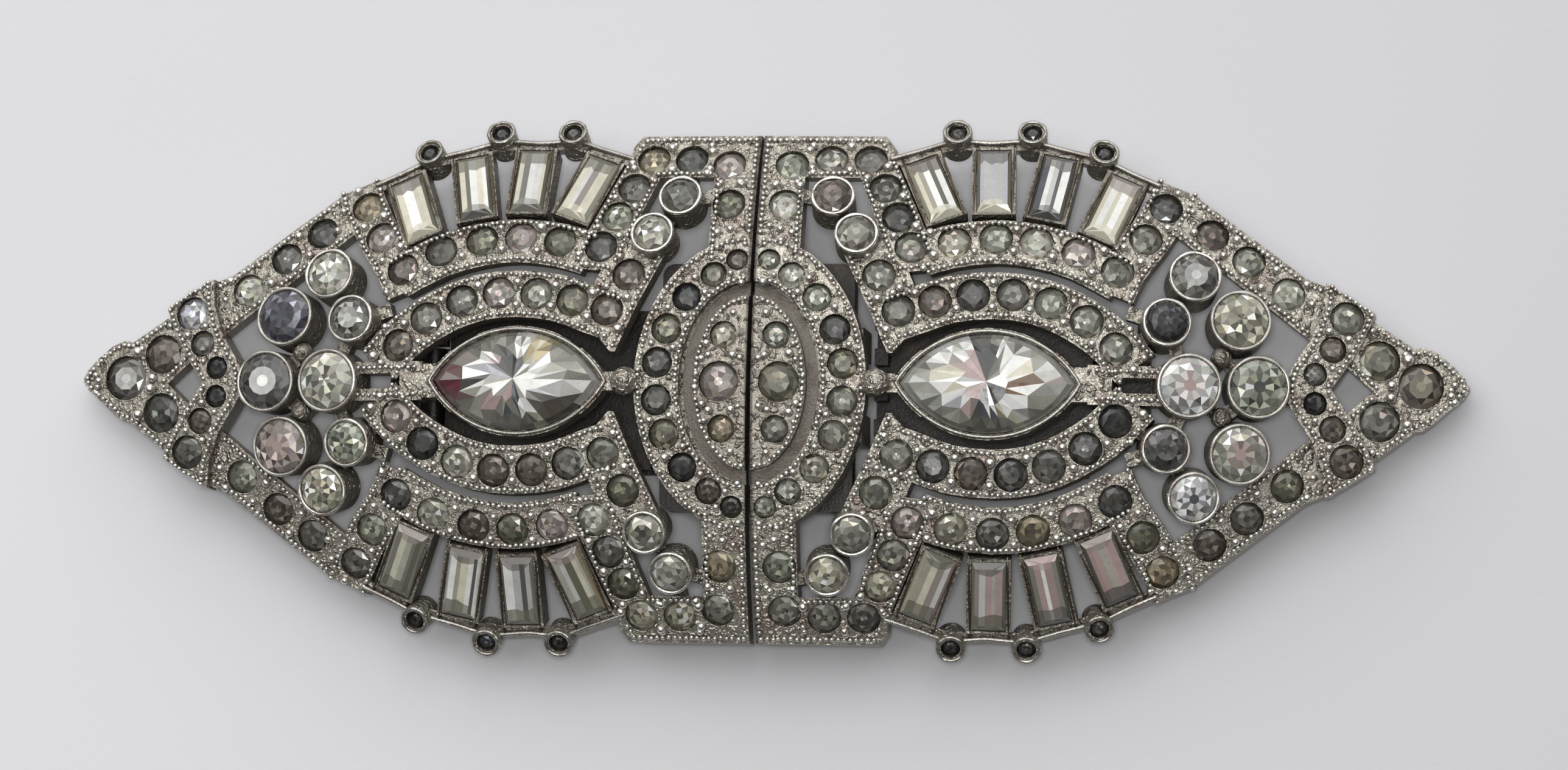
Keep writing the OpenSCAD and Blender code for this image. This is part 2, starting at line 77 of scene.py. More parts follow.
# a cup: x, y, outer radius, and the height of its rim above the front
CUPS = {"cupA": (4.5, 10.85, 1.3, 0.7), "cupB": (6.0, 8.6, 1.3, 0.7)}
KNOBS = {"knob1": (11.5, 14.9, 0.87, 0.6), "knob2": (15.9, 14.9, 0.87, 0.6),
         "knob3": (20.1, 13.7, 0.87, 0.6)}
CLUSTER = {"clA": (25.55, 6.3, 1.55, 0.7), "clB": (24.0, 3.6, 1.45, 0.7),
           "clC": (28.2, 3.8, 1.8, 0.7), "clD": (25.3, 0, 1.9, 0.7), "clE": (29.25, 0, 1.85, 0.7)}
# a rectangular stone: x, y, lean of its outer end away from the middle
BAGUETTES = [(10.3, 11.65, -22), (13.8, 12.15, -1), (17.25, 11.75, 12), (20.8, 10.5, 25)]
# the middle lines of the curved bands
EYELID = [(8.3, 3.8), (9.6, 4.25), (11.6, 4.95), (14.1, 5.2), (16.4, 4.95), (18.5, 4.15),
          (20.4, 2.95), (21.6, 1.8), (22.3, 1.0)]
ARCH = [(9.9, 7.65), (11.6, 8.15), (14.1, 8.45), (16.5, 8.2), (18.9, 7.5), (21.4, 6.2)]
END_BAND = [(20.9, 5.3), (21.6, 6.9), (22.85, 8.7), (23.95, 10.65), (24.5, 11.9)]
GALLERY = [(7.7, 13.35), (9.7, 13.98), (11.4, 14.5), (13.5, 14.4), (15.7, 14.5),
           (17.9, 13.95), (20.1, 13.35), (21.8, 12.55), (23.4, 11.85)]
MARQUISE = (13.85, 10.2, 5.8)
# half the gap between the clips, and the distance from the long axis within which a stone has
# no lower twin
HALF_GAP, NO_TWIN = 0.12, 0.5

# the curved bands' grained edges: the middle line, the distance from it, and how high up the
# edge on its left starts
BAND_EDGES = ((EYELID, 1.18, 0), (ARCH, 1.12, 0), (END_BAND, 1.08, 7.7))
# the half width and half height of the grained rows of the middle oval
OVAL_ROWS = ((6.45, 8.45), (4.22, 6.12), (3.02, 4.92))
# the other rows of fine grains along edges: the rise above the front, then points
EDGE_ROWS = {
    "top_outer": (0, (0.42, 14.7), (7.0, 14.7), (7.4, 14.1)),
    "top_inner": (0, (3.0, 12.56), (6.1, 12.56)),
    "bar_gap": (0, (0.36, 14.35), (0.36, 8.95)),
    "bar_right": (0, (2.47, 12.15), (2.47, 7.35)),
    "diagonal_right": (0, (7.75, 13.6), (10.5, 7.35)),
    "diagonal_foot": (0, (10.25, 6.98), (8.6, 6.78)),
    "diagonal_left": (0, (6.3, 12.1), (7.3, 9.6), (8.25, 7.2)),
    "inner_left": (0, (5.35, 8.0), (7.1, 4.45), (8.15, 2.05)),
    "inner_right": (0, (8.55, 6.35), (9.15, 5.75)),
    "side_outer": (0, (25.75, 10.95), (31.9, 6.25), (32.8, 5.85)),
    "side_inner": (0, (24.75, 9.05), (32.1, 3.35)),
    "cross_left": (0.5, (33.4, 5.95), (33.25, 4.65), (32.63, 2.9), (31.73, 1.5), (31.28, 0.75),
                   (31.2, 0.15)),
    "cross_right": (0.5, (33.25, 0.2), (33.8, 0.95), (34.45, 1.9), (35.05, 2.95), (35.5, 3.85),
                    (35.7, 4.35)),
    "cross_end": (0.5, (33.6, 5.75), (34.95, 4.95), (35.6, 4.5)),
    "tip_opening": (0, (34.75, 1.45), (36.1, 0.2)),
    "eye_bar": (0, (20.1, 0.8), (23.6, 0.8)),
}
# the grained edge of the end, which is a little lopsided and so isn't given a mirrored twin
TIP_ROW = [(36.2, 3.6), (37.0, 3.05), (38.3, 2.22), (38.75, 2.38), (39.5, 2.05), (40.35, 1.35),
           (41.0, 0.65), (41.18, 0.25), (40.9, -0.15), (40.05, -0.85), (39.15, -1.62),
           (38.65, -1.98), (38.25, -2.05), (37.0, -2.95), (36.2, -3.6)]
# chains of neighbouring stones, with grains between each two
CHAINS = [
    ("top1", "top2", "top3", "dia1", "dia2", "dia3"), ("top1", "col1"),
    ("inn1", "eye1", "eye2", "eye3", "eye4", "eye5", "eye6", "eye7"),
    ("dia3", "arc1", "arc2", "arc3", "arc4", "arc5", "end1", "end2"),
    ("side1", "side2", "side3"), ("crs1", "crs2", "crs3"), ("tip1", "tip0"),
    ("rng1", "rng2", "rng3", "rng4", "rng5"), ("inr1", "inr0"),
]
# single larger grains: x, y, radius
LONE_GRAINS = [
    (3.05, 14.35, 0.2), (5.35, 14.4, 0.2), (3.0, 12.9, 0.26), (5.3, 12.85, 0.24),
    (7.7, 13.25, 0.25), (1.0, 11.9, 0.24), (2.25, 11.95, 0.22), (1.5, 9.1, 0.26),
    (0.85, 9.35, 0.2), (2.2, 8.9, 0.22), (1.6, 8.35, 0.2), (8.0, 7.5, 0.2), (6.6, 7.55, 0.24),
    (7.9, 3.05, 0.26), (8.3, 5.25, 0.2), (22.75, 1.6, 0.3), (22.2, 0.95, 0.25),
    (21.95, 3.25, 0.24), (9.95, 6.9, 0.22), (22.0, 5.35, 0.24), (24.6, 11.6, 0.22),
    (23.1, 11.7, 0.2), (25.35, 10.4, 0.24), (25.5, 9.2, 0.22), (32.1, 6.2, 0.26),
    (32.4, 5.0, 0.24), (33.25, 5.5, 0.2), (35.5, 4.1, 0.2), (35.9, 3.5, 0.2),
    (37.75, 2.2, 0.2), (40.55, 0.55, 0.22), (40.35, -0.15, 0.2), (37.0, 0.3, 0.2),
    (0.6, 5.9, 0.22), (0.6, 8.2, 0.2), (1.0, 4.05, 0.24), (0.55, 1.4, 0.22), (2.75, 1.35, 0.24),
    (2.55, 2.3, 0.2), (3.1, 0.4, 0.2),
]

# tints of the old foiled glass, in words, as linear colours
TINTS = {
    "grey": (0.185, 0.18, 0.15), "dark": (0.055, 0.053, 0.05), "black": (0.02, 0.02, 0.022),
    "pale": (0.35, 0.343, 0.285), "white": (0.8, 0.795, 0.755), "green": (0.205, 0.212, 0.165),
    "olive": (0.12, 0.115, 0.082), "yellow": (0.33, 0.315, 0.24), "amber": (0.22, 0.185, 0.12),
    "brown": (0.095, 0.078, 0.064), "pink": (0.275, 0.236, 0.214), "lilac": (0.4, 0.395, 0.415),
    "violet": (0.09, 0.085, 0.105), "smoke": (0.108, 0.103, 0.09), "silver": (0.48, 0.478, 0.455),
    "cream": (0.58, 0.55, 0.43), "rose": (0.38, 0.285, 0.265), "slate": (0.06, 0.066, 0.078),
    "rust": (0.16, 0.09, 0.05), "wine": (0.11, 0.022, 0.035), "gold": (0.42, 0.345, 0.19),
}
# the tint of each stone as it lies in the brooch: right clip above and below the long axis, then
# left clip above and below it. A second word is the tint of the stone's middle, partly its own
# colour and partly a painted reflection in its table, and a hyphen stands where a stone has no
# lower twin.
QUARTERS = (("right", 1), ("right", -1), ("left", 1), ("left", -1))
STONE_TINTS = """
    top1 green grey pink grey
    top2 grey grey dark yellow
    top3 smoke smoke amber yellow
    col1 pale green olive amber
    dia1 smoke yellow smoke olive
    dia2 dark grey green smoke
    dia3 grey pink dark pale
    inn1 grey green/smoke brown olive
    eye1 smoke/grey grey brown grey
    eye2 brown dark olive smoke
    eye3 dark brown grey brown
    eye4 smoke dark pink brown
    eye5 green smoke smoke pale
    eye6 grey dark grey black
    eye7 grey black brown pink
    arc1 yellow yellow olive pink
    arc2 green smoke pink olive
    arc3 pale amber/brown olive brown
    arc4 pink pink smoke pale
    arc5 grey dark brown dark
    end1 grey olive pink green
    end2 dark amber amber smoke
    side1 brown brown dark smoke
    side2 grey smoke smoke brown
    side3 pale olive pale green
    crs1 grey brown lilac smoke
    crs2 brown brown smoke brown
    crs3 smoke black black black
    tip1 olive smoke brown dark
    tip0 brown/yellow - smoke/silver -
    inr1 grey grey yellow amber
    inr0 olive - pink -
    rng1 green green brown dark
    rng2 pale grey olive brown
    rng3 green yellow black black
    rng4 dark grey olive olive
    rng5 olive grey dark dark
    cupA brown yellow smoke pale/grey
    cupB grey/pale grey/smoke pale pale/dark
    knob1 dark black dark black
    knob2 black dark black slate
    knob3 black dark black black
    clA smoke/silver silver/slate pale yellow
    clB black dark smoke/silver green
    clC yellow pale/rose violet/slate pink/rose
    clD silver/rose - pale -
    clE green/dark - dark/white -"""

# the rectangular stones, a row each, as they lie in the picture from left to right: the left
# bevel, five strips of the table, the right bevel, then the inner end and the outer end; the white
# and pale words are partly painted reflections and highlights
BAGUETTE_TINTS = {
    "right": """
        yellow cream yellow white olive white olive cream brown
        grey lilac silver lilac silver lilac grey cream smoke
        dark slate white silver dark white smoke dark smoke
        olive cream white cream white cream pale cream pink
        yellow yellow pale cream pink silver rose olive olive
        grey pink silver rose pale rose grey smoke olive
        olive grey rose white rose grey smoke rose smoke
        smoke rose rose pale rose rose smoke pink dark""",
    "left": """
        pale cream silver pink cream cream pale cream olive
        olive cream smoke white silver cream olive grey olive
        olive cream olive white cream white olive smoke olive
        cream cream white white cream cream olive cream brown
        grey pale silver olive cream pale amber pink olive
        grey white white silver smoke silver grey brown olive
        silver white yellow cream white smoke white brown olive
        pale grey cream pale grey olive grey pink olive""",
}
# the facets of the long pointed stones as the front shows them, their tints partly the foil's
# colour and partly painted reflections of the light, a row for each spoke from the middle: its
# angle, the radius where the star ends, the share of the way to the edge where the kites end,
# then the tints of the star, two of the kites and two of the outer facets that follow it clockwise
POINTED_FACETS = {
    "right": """
        180 1.90 .66 silver white cream silver pale
        168 1.50 .74 rose cream cream grey silver
        155 1.35 .62 rose rose pink white silver
        140 1.75 .76 rose white silver white pale
        126 1.75 .72 rose rose white white silver
        112 2.05 .82 black black black slate smoke
        101 1.75 .72 black black black smoke smoke
        86 1.90 .80 black black dark grey pale
        72 1.60 .74 dark white white white pale
        66 1.50 .84 smoke pale white silver grey
        47 1.05 .66 grey white white silver pale
        30 0.85 .76 white white cream pale silver
        12 1.05 .60 white white rust silver pink
        0 1.20 .66 white rust white silver pale
        -18 1.15 .58 dark rust white pale grey
        -32 1.25 .74 slate white white grey silver
        -47 1.30 .64 dark white white cream grey
        -60 1.35 .76 black cream amber grey grey
        -72 1.40 .70 black white slate smoke grey
        -84 1.35 .74 black white slate grey smoke
        -98 1.30 .68 dark slate dark smoke grey
        -114 1.10 .78 rose pink rose grey pale
        -135 1.30 .64 rose white lilac pale grey
        -152 1.60 .76 pink lilac white silver grey
        -165 1.20 .62 white cream white silver pale""",
    "left": """
        180 1.60 .60 lilac dark white pink wine
        166 1.30 .72 lilac lilac white grey pink
        150 1.90 .62 lilac white silver grey smoke
        140 1.40 .74 dark rose white smoke grey
        130 1.20 .64 dark rose smoke grey grey
        118 1.50 .78 dark smoke dark grey pale
        104 1.30 .66 black dark grey grey smoke
        90 1.50 .76 dark grey white white grey
        77 1.20 .66 dark pale white white pale
        66 1.50 .78 slate pale gold gold cream
        52 1.10 .66 white pale gold gold grey
        38 1.40 .76 grey white white pale grey
        24 1.00 .62 white silver pale grey pale
        10 1.50 .72 white white grey pale smoke
        0 1.20 .60 white white silver white brown
        -20 1.60 .72 white white smoke smoke brown
        -36 1.10 .62 white grey smoke brown smoke
        -52 1.40 .76 grey white white cream smoke
        -66 1.20 .68 slate white white grey smoke
        -76 1.50 .80 slate slate grey smoke grey
        -90 1.00 .66 rose grey slate grey smoke
        -105 1.40 .78 rose pale grey smoke grey
        -120 1.10 .66 grey rose rose grey pale
        -138 1.50 .76 white rose pink pale grey
        -155 1.30 .62 white white pale grey wine
        -168 1.80 .74 pale white dark wine wine""",
}


def word_rows(chart):
    """The rows of a chart, as lists of words."""
    return [row.split() for row in chart.strip().splitlines()]


STONE_WORDS = {name: words for name, *words in word_rows(STONE_TINTS)}

# what is added to the settings' seed for each kind of piece, and the rings' own seed
GRAIN_SEED, CLUSTER_SEED, BAGUETTE_SEED, POINTED_SEED, RING_SEED = 5, 60, 100, 140, 1
# the rise of the grains' middles
GRAIN_RISE = 0.05
# how far a grain stands beside the line between two stones, as a share of their diameter
GRAIN_AWAY = 0.36
# a rail and the ribbon: distance from the middle line, width and height, rise, and half length
RAIL_AWAY, RAIL_SIZE, RAIL_RISE, RAIL_HALF_LENGTH = 1.12, (0.14, 0.1), 0.1, 2.3
RIBBON_AWAY, RIBBON_SIZE, RIBBON_RISE = 0.14, (0.3, 0.2), 0.04
# a seat's wall and a cup's rim: distance outside the stone or inside the cup, radius of the
# wire, and drop or rise
SEAT_ROOM, SEAT_WIRE, SEAT_DROP = 0.08, 0.045, 0.03
RIM_INSET, RIM_WIRE, RIM_RISE = 0.11, 0.105, 0.02
# the wall round a pointed stone: how much longer and wider its line is, then its profile
WALL_LONGER, WALL_WIDER = 0.42, 0.36
WALL_PROFILE = [(-0.12, -0.6), (0.1, -0.6), (0.12, 0.05), (0.05, 0.16), (-0.05, 0.17),
                (-0.12, 0.08)]
# how much narrower a round stone is than its cup or knob, and how far its back lies below its
# table
CUP_MARGIN, KNOB_MARGIN, STONE_DEPTH = 0.50, 0.70, 0.65
# its rings as shares of its radius: the middle and the edge of the table, the star's tips, the
# ledge below the girdle and the back, then the drops of the star (a share of the crown's) and
# of the ledge
CULET, TABLE, STAR, LEDGE, BACK = 0.22, 0.54, 0.80, 0.86, 0.6
STAR_DROP, LEDGE_DROP = 0.42, 0.03
# the round stones: name, table, diameter as a share of the charted size and something more or
# less, height of the table above the seat, and slot
ROUND_STONES = (
    ("_band_stones", BAND_STONES, 1, 0.07, -0.03, "smoky_stone"),
    ("_cup_stones", CUPS, 2, -CUP_MARGIN, 0.3, "clear_stone"),
    ("_knob_stones", KNOBS, 2, -KNOB_MARGIN, -0.03, "smoky_stone"),
)
# a rectangular stone: half width, half length and height of its back and of its girdle's lower
# and upper edges, then the height and half length of its table, the edges of the table's strips
# and their steps, the mitred ends of the strips and the line where the dirt begins
BAGUETTE_BOXES = ((0.65, 1.75, -0.7), (1.0, 2.12, -0.05), (1.0, 2.12, 0.06))
BAGUETTE_TABLE, TABLE_END = 0.30, 1.76
STRIP_EDGES = (-0.8, -0.52, -0.2, 0.14, 0.46, 0.8)
STRIP_STEPS = (0.0, 0.03, 0.0, 0.035, 0.01, 0.0)
MITRE, DIRT_LINE = (-1.74, -1.46, -1.36, -1.34, -1.44, -1.74), 1.08
# the shakes of its strips' edges, its dirt's line and its strips' tones
STRIP_SHAKE, DIRT_SHAKE, TONE_SHAKE = 0.05, 0.09, 0.08
# its painted light and shade, as factors: of the back and the lower wall, the upper wall, the
# facets of an end bevel and of a long bevel, and of the strips where an end's tint lies over them
BACK_SHADE, WALL_SHADE = 0.2, 0.3
END_SHADES, LONG_SHADES = (0.8, 1.1, 0.8, 0.95, 0.7, 1.15), (1.0, 0.9, 1.1, 0.55)
STRIP_SHADES = np.array([0.9, 1.1, 1.0, 1.1, 0.9])[:, None]
# how much of its end's tint the inner and the outer row of the table take
INNER_SHARE, OUTER_SHARE = 0.65, 0.78
# a pointed stone: the heights of its crown at shares of the way to the edge, its middle, and the
# share where the fine outer facets end
CROWN_SHARES, CROWN_HEIGHTS = [0, 0.42, 0.74, 1.0], [1.07, 1.05, 0.75, -0.1]
POINTED_MIDDLE, FINE_RING = [-0.05, 0.03, 1.08], 0.90
# its girdle's drop, the share of its reach that its back has, and the drops of the back's edge
# and middle
GIRDLE_DROP, BACK_REACH, BACK_DROP, BACK_MIDDLE = 0.12, 0.6, 0.95, [0, 0, -1.05]
# painted shades of the outer edge, the girdle and the slope to the back
EDGE_SHADES = (0.55, 0.3, 0.2)
# the limits of a facet's tone, the share of facets that glint, how much of its middle's tint the
# table of a stone takes, and the shakes of a facet's hue and of a round stone's tilt
DARKEST, BRIGHTEST, GLINT_SHARE, MIDDLE_SHARE = 0.004, 0.95, 0.07, 0.45
HUE_SHAKE, TILT_SHAKE = 0.04, 0.05
# a pointed stone's own brightest tone and shake
POINTED_BRIGHTEST, POINTED_SHAKE = 0.9, 0.10
# the groove of the middle oval, and the ring of the rectangular stones: its middle and radii
GROOVE_INNER, GROOVE_OUTER = (3.2, 5.1), (4.05, 5.95)
FAN_X, FAN_DROP, FAN_INNER, FAN_OUTER = 14.22, 4.215, 13.96, 18.2

# the stage, in metres: the floor, the lights with their places and sizes, and the camera's two
# axes with its place in millimetres
FLOOR_HALF, FLOOR_POINTS = 0.6, 33
WINDOW_LIGHT = ((-0.06, 0.20, 0.44), 0.6, 0.42)
KEY_LIGHT = ((0.043, -0.024, 0.312), 0.04, 0.04)
CAMERA_RIGHT, CAMERA_BACK = (0.98958, 0.01730, -0.14290), (0.1437, -0.1003, 0.9845)
CAMERA_PLACE = (45.16, -30.26, 303.24)
# the glow of the room: low and high sky, the window, the bright strip, and the dark in front
LOW_SKY, HIGH_SKY = (0.30, 0.30, 0.32, 1), (1.0, 1.0, 1.02, 1)
WINDOW_GLOW, STRIP_GLOW = (1.9, 1.9, 1.95, 1), (7.0, 7.0, 7.1, 1)
FRONT_GLOW = (0.10, 0.10, 0.11, 1)

# The front of the brooch

DOME_R, APEX_Z, INNER_FALL, OUTER_FALL, FALL_X = 30.0, 8.2, 4.0, 12.0, 20.0
LEFT_TURN, LEFT_SHIFT = -0.43, -0.04


def front_height(x, y):
    """Height of the front: the lower of two tilted cylinders of one radius.

    z = apex - x tan(inner fall) - (R - sqrt(R^2 - y^2)) / cos(inner fall) near the middle,
    and the same with the outer fall further out."""
    ti, to = np.tan(np.radians([INNER_FALL, OUTER_FALL]))
    ci, co = np.cos(np.radians([INNER_FALL, OUTER_FALL]))
    sag = DOME_R - np.sqrt(DOME_R**2 - y * y)
    near = APEX_Z - x * ti - sag / ci
    far = APEX_Z - FALL_X * ti - (x - FALL_X) * to - sag / co
    return near, far


def front_frames(x, y, lean=0.0):
    """Points on the front and their axes: along the brooch, across it and square to it.

    The axes are the world's, turned about y by the fall, about x by -asin(y / R), and about
    their own third axis by the lean."""
    x, y = np.broadcast_arrays(np.asarray(x, float), np.asarray(y, float))
    near, far = front_height(x, y)
    fall = np.radians(np.where(far < near, OUTER_FALL, INNER_FALL))
    roll = -np.arcsin(y / DOME_R)
    zero = np.zeros_like(fall)
    e1 = np.stack([np.cos(fall), zero, -np.sin(fall)], -1)
    e2 = np.stack([np.sin(roll) * np.sin(fall), np.cos(roll), np.sin(roll) * np.cos(fall)], -1)
    e3 = np.stack([np.cos(roll) * np.sin(fall), -np.sin(roll), np.cos(roll) * np.cos(fall)], -1)
    a = np.radians(lean) + zero
    c, s = np.cos(a)[..., None], np.sin(a)[..., None]
    axes = np.stack([c * e1 + s * e2, c * e2 - s * e1, e3], -2)
    return np.stack([x, y, np.minimum(near, far)], -1), axes


def placed(local, x, y, lean=0.0, rise=0.0):
    """Local points put on the front at each of several places: origin + u e1 + v e2 + w e3."""
    origin, axes = front_frames(x, y, lean)
    local = np.asarray(local, float)
    rise = np.asarray(rise, float)[..., None, None]
    lifted = local + rise * np.array([0.0, 0.0, 1.0])
    return origin[..., None, :] + lifted @ axes


def to_side(points, side):
    """The right clip's points as they are, or mirrored in x, turned and shifted for the left."""
    if side == "right":
        return points
    a = np.radians(LEFT_TURN)
    x, y = -points[..., 0], points[..., 1]
    return np.stack([x * np.cos(a) - y * np.sin(a) + LEFT_SHIFT,
                     x * np.sin(a) + y * np.cos(a), points[..., 2]], -1)


def smooth_line(points, steps=12):
    """A smooth curve through three or more given points, as rows of x and y.

    Between two points it is a cubic whose slope at each of them is half the step from the
    point before it to the point after it."""
    p = np.asarray(points, float)
    before = np.vstack([p[:1], p[:-2]])
    after = np.vstack([p[2:], p[-1:]])
    a, b, c, d = before[:, None], p[:-1][:, None], p[1:][:, None], after[:, None]
    t = np.linspace(0, 1, steps, endpoint=False)[None, :, None]
    q = 0.5 * (2 * b + (c - a) * t + (2 * a - 5 * b + 4 * c - d) * t**2
               + (3 * b - a - 3 * c + d) * t**3)
    return np.vstack([q.reshape(-1, 2), p[-1:]])


def corner_line(points, steps=12):
    """Straight stretches between given points, as rows of x and y."""
    p = np.asarray(points, float)
    t = np.linspace(0, 1, steps, endpoint=False)[None, :, None]
    return np.vstack([(p[:-1, None] * (1 - t) + p[1:, None] * t).reshape(-1, 2), p[-1:]])


def beside(line, distance):
    """A line moved to its left by a distance: each point goes along the unit normal."""
    run = np.gradient(line, axis=0)
    run /= np.linalg.norm(run, axis=1)[:, None]
    return line + distance * np.stack([-run[:, 1], run[:, 0]], 1)


def even_points(line, pitch):
    """Points at one pitch along a line, by linear steps of its length."""
    gap = np.linalg.norm(np.diff(line, axis=0), axis=1)
    along = np.concatenate([[0], np.cumsum(gap)])
    count = max(int(round(along[-1] / pitch)) + 1, 2)
    want = np.linspace(0, along[-1], count)
    return np.stack([np.interp(want, along, line[:, 0]), np.interp(want, along, line[:, 1])], 1)


def oval_line(length, width, count):
    """A pointed oval: the common part of two circles of radius (l^2 + w^2) / (4 w)."""
    r = (length**2 + width**2) / (4 * width)
    half = np.arcsin(length / 2 / r)
    a = np.linspace(-half, half, count, endpoint=False)
    top = np.stack([r * np.sin(a), r * np.cos(a) - r + width / 2], 1)
    return np.vstack([top, -top])


def arc_line(wide, high, reach=86, count=90):
    """Part of the ellipse x = gap + a cos t, y = b sin t, up to the reach in degrees."""
    t = np.radians(np.linspace(-reach, reach, count))
    return np.stack([HALF_GAP + wide * np.cos(t), high * np.sin(t)], 1)


# Meshes from arrays


class Pile:
    """Gathers the points, faces and face colours of many small forms into one mesh."""

    def __init__(self):
        self.points, self.quads, self.tris, self.quad_tones, self.tri_tones = [], [], [], [], []
        self.count = 0

    def add(self, points, quads=None, tris=None, quad_tones=None, tri_tones=None):
        """Adds k copies of one form: points (k, n, 3) and faces of one copy."""
        points = np.asarray(points, float)
        if points.ndim == 2:
            points = points[None]
        k, n = points.shape[:2]
        shift = self.count + n * np.arange(k)[:, None, None]
        for faces, tones, kept, colours in ((quads, quad_tones, self.quads, self.quad_tones),
                                            (tris, tri_tones, self.tris, self.tri_tones)):
            if faces is None:
                continue
            faces = np.asarray(faces, int)
            kept.append((faces[None] + shift).reshape(-1, faces.shape[1]))
            if tones is not None:
                colours.append(np.broadcast_to(tones, (k, len(faces), 3)).reshape(-1, 3))
        self.points.append(points.reshape(-1, 3))
        self.count += k * n

    def make(self, name, side, material, cut=False):
        """Makes the piece: one mesh in metres, at the origin, riding on the brooch.

        A cut piece has flat facets, each with its own tone."""
        points = to_side(np.vstack(self.points), side) * MM
        quads = np.vstack(self.quads or [np.zeros((0, 4), int)])
        tris = np.vstack(self.tris or [np.zeros((0, 3), int)])
        if side == "left":
            quads, tris = quads[:, ::-1], tris[:, ::-1]
        mesh = bpy.data.meshes.new(name)
        mesh.vertices.add(len(points))
        mesh.vertices.foreach_set("co", points.astype(np.float32).ravel())
        corners = np.concatenate([quads.ravel(), tris.ravel()]).astype(np.int32)
        totals = np.repeat([4, 3], [len(quads), len(tris)]).astype(np.int32)
        starts = np.concatenate([[0], np.cumsum(totals)[:-1]]).astype(np.int32)
        mesh.loops.add(len(corners))
        mesh.loops.foreach_set("vertex_index", corners)
        mesh.polygons.add(len(totals))
        mesh.polygons.foreach_set("loop_start", starts)
        mesh.polygons.foreach_set("loop_total", totals)
        mesh.polygons.foreach_set("use_smooth", np.full(len(totals), not cut))
        if cut:
            tones = np.vstack(self.quad_tones + self.tri_tones)
            tones = np.hstack([tones, np.ones((len(tones), 1))])
            layer = mesh.attributes.new("facet_tone", "FLOAT_COLOR", "CORNER")
            layer.data.foreach_set("color", np.repeat(tones, totals, axis=0)
                                   .astype(np.float32).ravel())
        mesh.update(calc_edges=True)
        mesh.materials.append(finish_of(material))
        piece = bpy.data.objects.new(name, mesh)
        bpy.context.scene.collection.objects.link(piece)
        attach(piece, "root")
        return piece

    def make_stone(self, node, side, glass):
        """Makes a cut piece that takes the place of the frame's own stones of that name."""
        piece = self.make(node + "_cut", side, glass, cut=True)
        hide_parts(node)


def faces_of(*corners):
    """Faces from the numbers of their corners. One number stands for all of the faces."""
    return np.stack(np.broadcast_arrays(*corners), -1).reshape(-1, len(corners))


def round_points(angle, radius, z):
    """Points at (r cos a, r sin a, z)."""
    return np.stack(np.broadcast_arrays(radius * np.cos(angle), radius * np.sin(angle), z), -1)


def grid_faces(rows, columns, wrap_rows, wrap_columns):
    """Quads of a grid of points numbered row by row, joined round where it wraps."""
    i = np.arange(rows if wrap_rows else rows - 1)[:, None]
    j = np.arange(columns if wrap_columns else columns - 1)[None, :]
    i2, j2 = (i + 1) % rows, (j + 1) % columns
    a, b = i * columns + j, i * columns + j2
    c, d = i2 * columns + j2, i2 * columns + j
    return faces_of(a, b, c, d)


def ball(segments, bands):
    """A ball of radius one: (sin v cos u, sin v sin u, cos v), with its poles closed."""
    u = np.arange(segments) * 2 * np.pi / segments
    v = np.pi * np.arange(1, bands) / bands
    ring = round_points(u, np.sin(v)[:, None], np.cos(v)[:, None]).reshape(-1, 3)
    points = np.vstack([[[0, 0, 1]], ring, [[0, 0, -1]]])
    quads = grid_faces(bands - 1, segments, False, True)[:, ::-1] + 1
    k = np.arange(segments)
    last = 1 + segments * (bands - 2)
    tris = np.vstack([faces_of(0, 1 + k, 1 + (k + 1) % segments),
                      faces_of(len(points) - 1, last + (k + 1) % segments, last + k)])
    return points, quads, tris


def carried(line, profile, closed, rise=0.0):
    """A profile carried along a line on the front.

    At each point the profile's first number goes to the left of the line and its second one
    square to the front: p = origin + u (n x t) + w n."""
    origin, axes = front_frames(line[:, 0], line[:, 1])
    normal = axes[:, 2]
    if closed:
        run = np.roll(origin, -1, 0) - np.roll(origin, 1, 0)
    else:
        run = np.gradient(origin, axis=0)
    run /= np.linalg.norm(run, axis=1)[:, None]
    left = np.cross(normal, run)
    left /= np.linalg.norm(left, axis=1)[:, None]
    profile = np.asarray(profile, float)
    return (origin[:, None] + profile[None, :, :1] * left[:, None]
            + (profile[None, :, 1:] + rise) * normal[:, None])


def add_strip(pile, line, profile, closed=False, rise=0.0):
    """Adds a closed profile carried along a line, with its ends capped by fans."""
    points = carried(line, profile, closed, rise)
    rows, columns = points.shape[:2]
    quads = grid_faces(rows, columns, closed, True)
    flat = points.reshape(-1, 3)
    if closed:
        pile.add(flat, quads=quads)
        return
    ends = np.stack([points[0].mean(0), points[-1].mean(0)])
    k = np.arange(columns)
    after = (k + 1) % columns
    end, total = (rows - 1) * columns, rows * columns
    tris = np.vstack([faces_of(total, after, k), faces_of(total + 1, end + k, end + after)])
    pile.add(np.vstack([flat, ends]), quads=quads, tris=tris)


def add_rings(pile, rows, radius, thick, rise, segments, sides, wobble):
    """Adds a ring on the front at each row's x and y:
    origin + (R + r cos v)(cos u e1 + sin u e2) + (h + r sin v) e3.

    The wire's radius is r (1 + w sin(3u + p) + w sin(7u + q)), as worked by hand."""
    rng = np.random.default_rng(RING_SEED)
    u = np.arange(segments) * 2 * np.pi / segments
    v = np.arange(sides) * 2 * np.pi / sides
    turn = rng.uniform(0, 6.28, (2, len(rows), 1))
    wire = 1 + wobble * (np.sin(3 * u + turn[0]) + np.sin(7 * u + turn[1]))
    wire = (thick * wire)[:, :, None]
    reach = radius[:, None, None] + wire * np.cos(v)
    local = round_points(u[:, None], reach, wire * np.sin(v)).reshape(len(rows), -1, 3)
    pile.add(placed(local, rows[:, 0], rows[:, 1], 0.0, rise),
             quads=grid_faces(segments, sides, True, True)[:, ::-1])


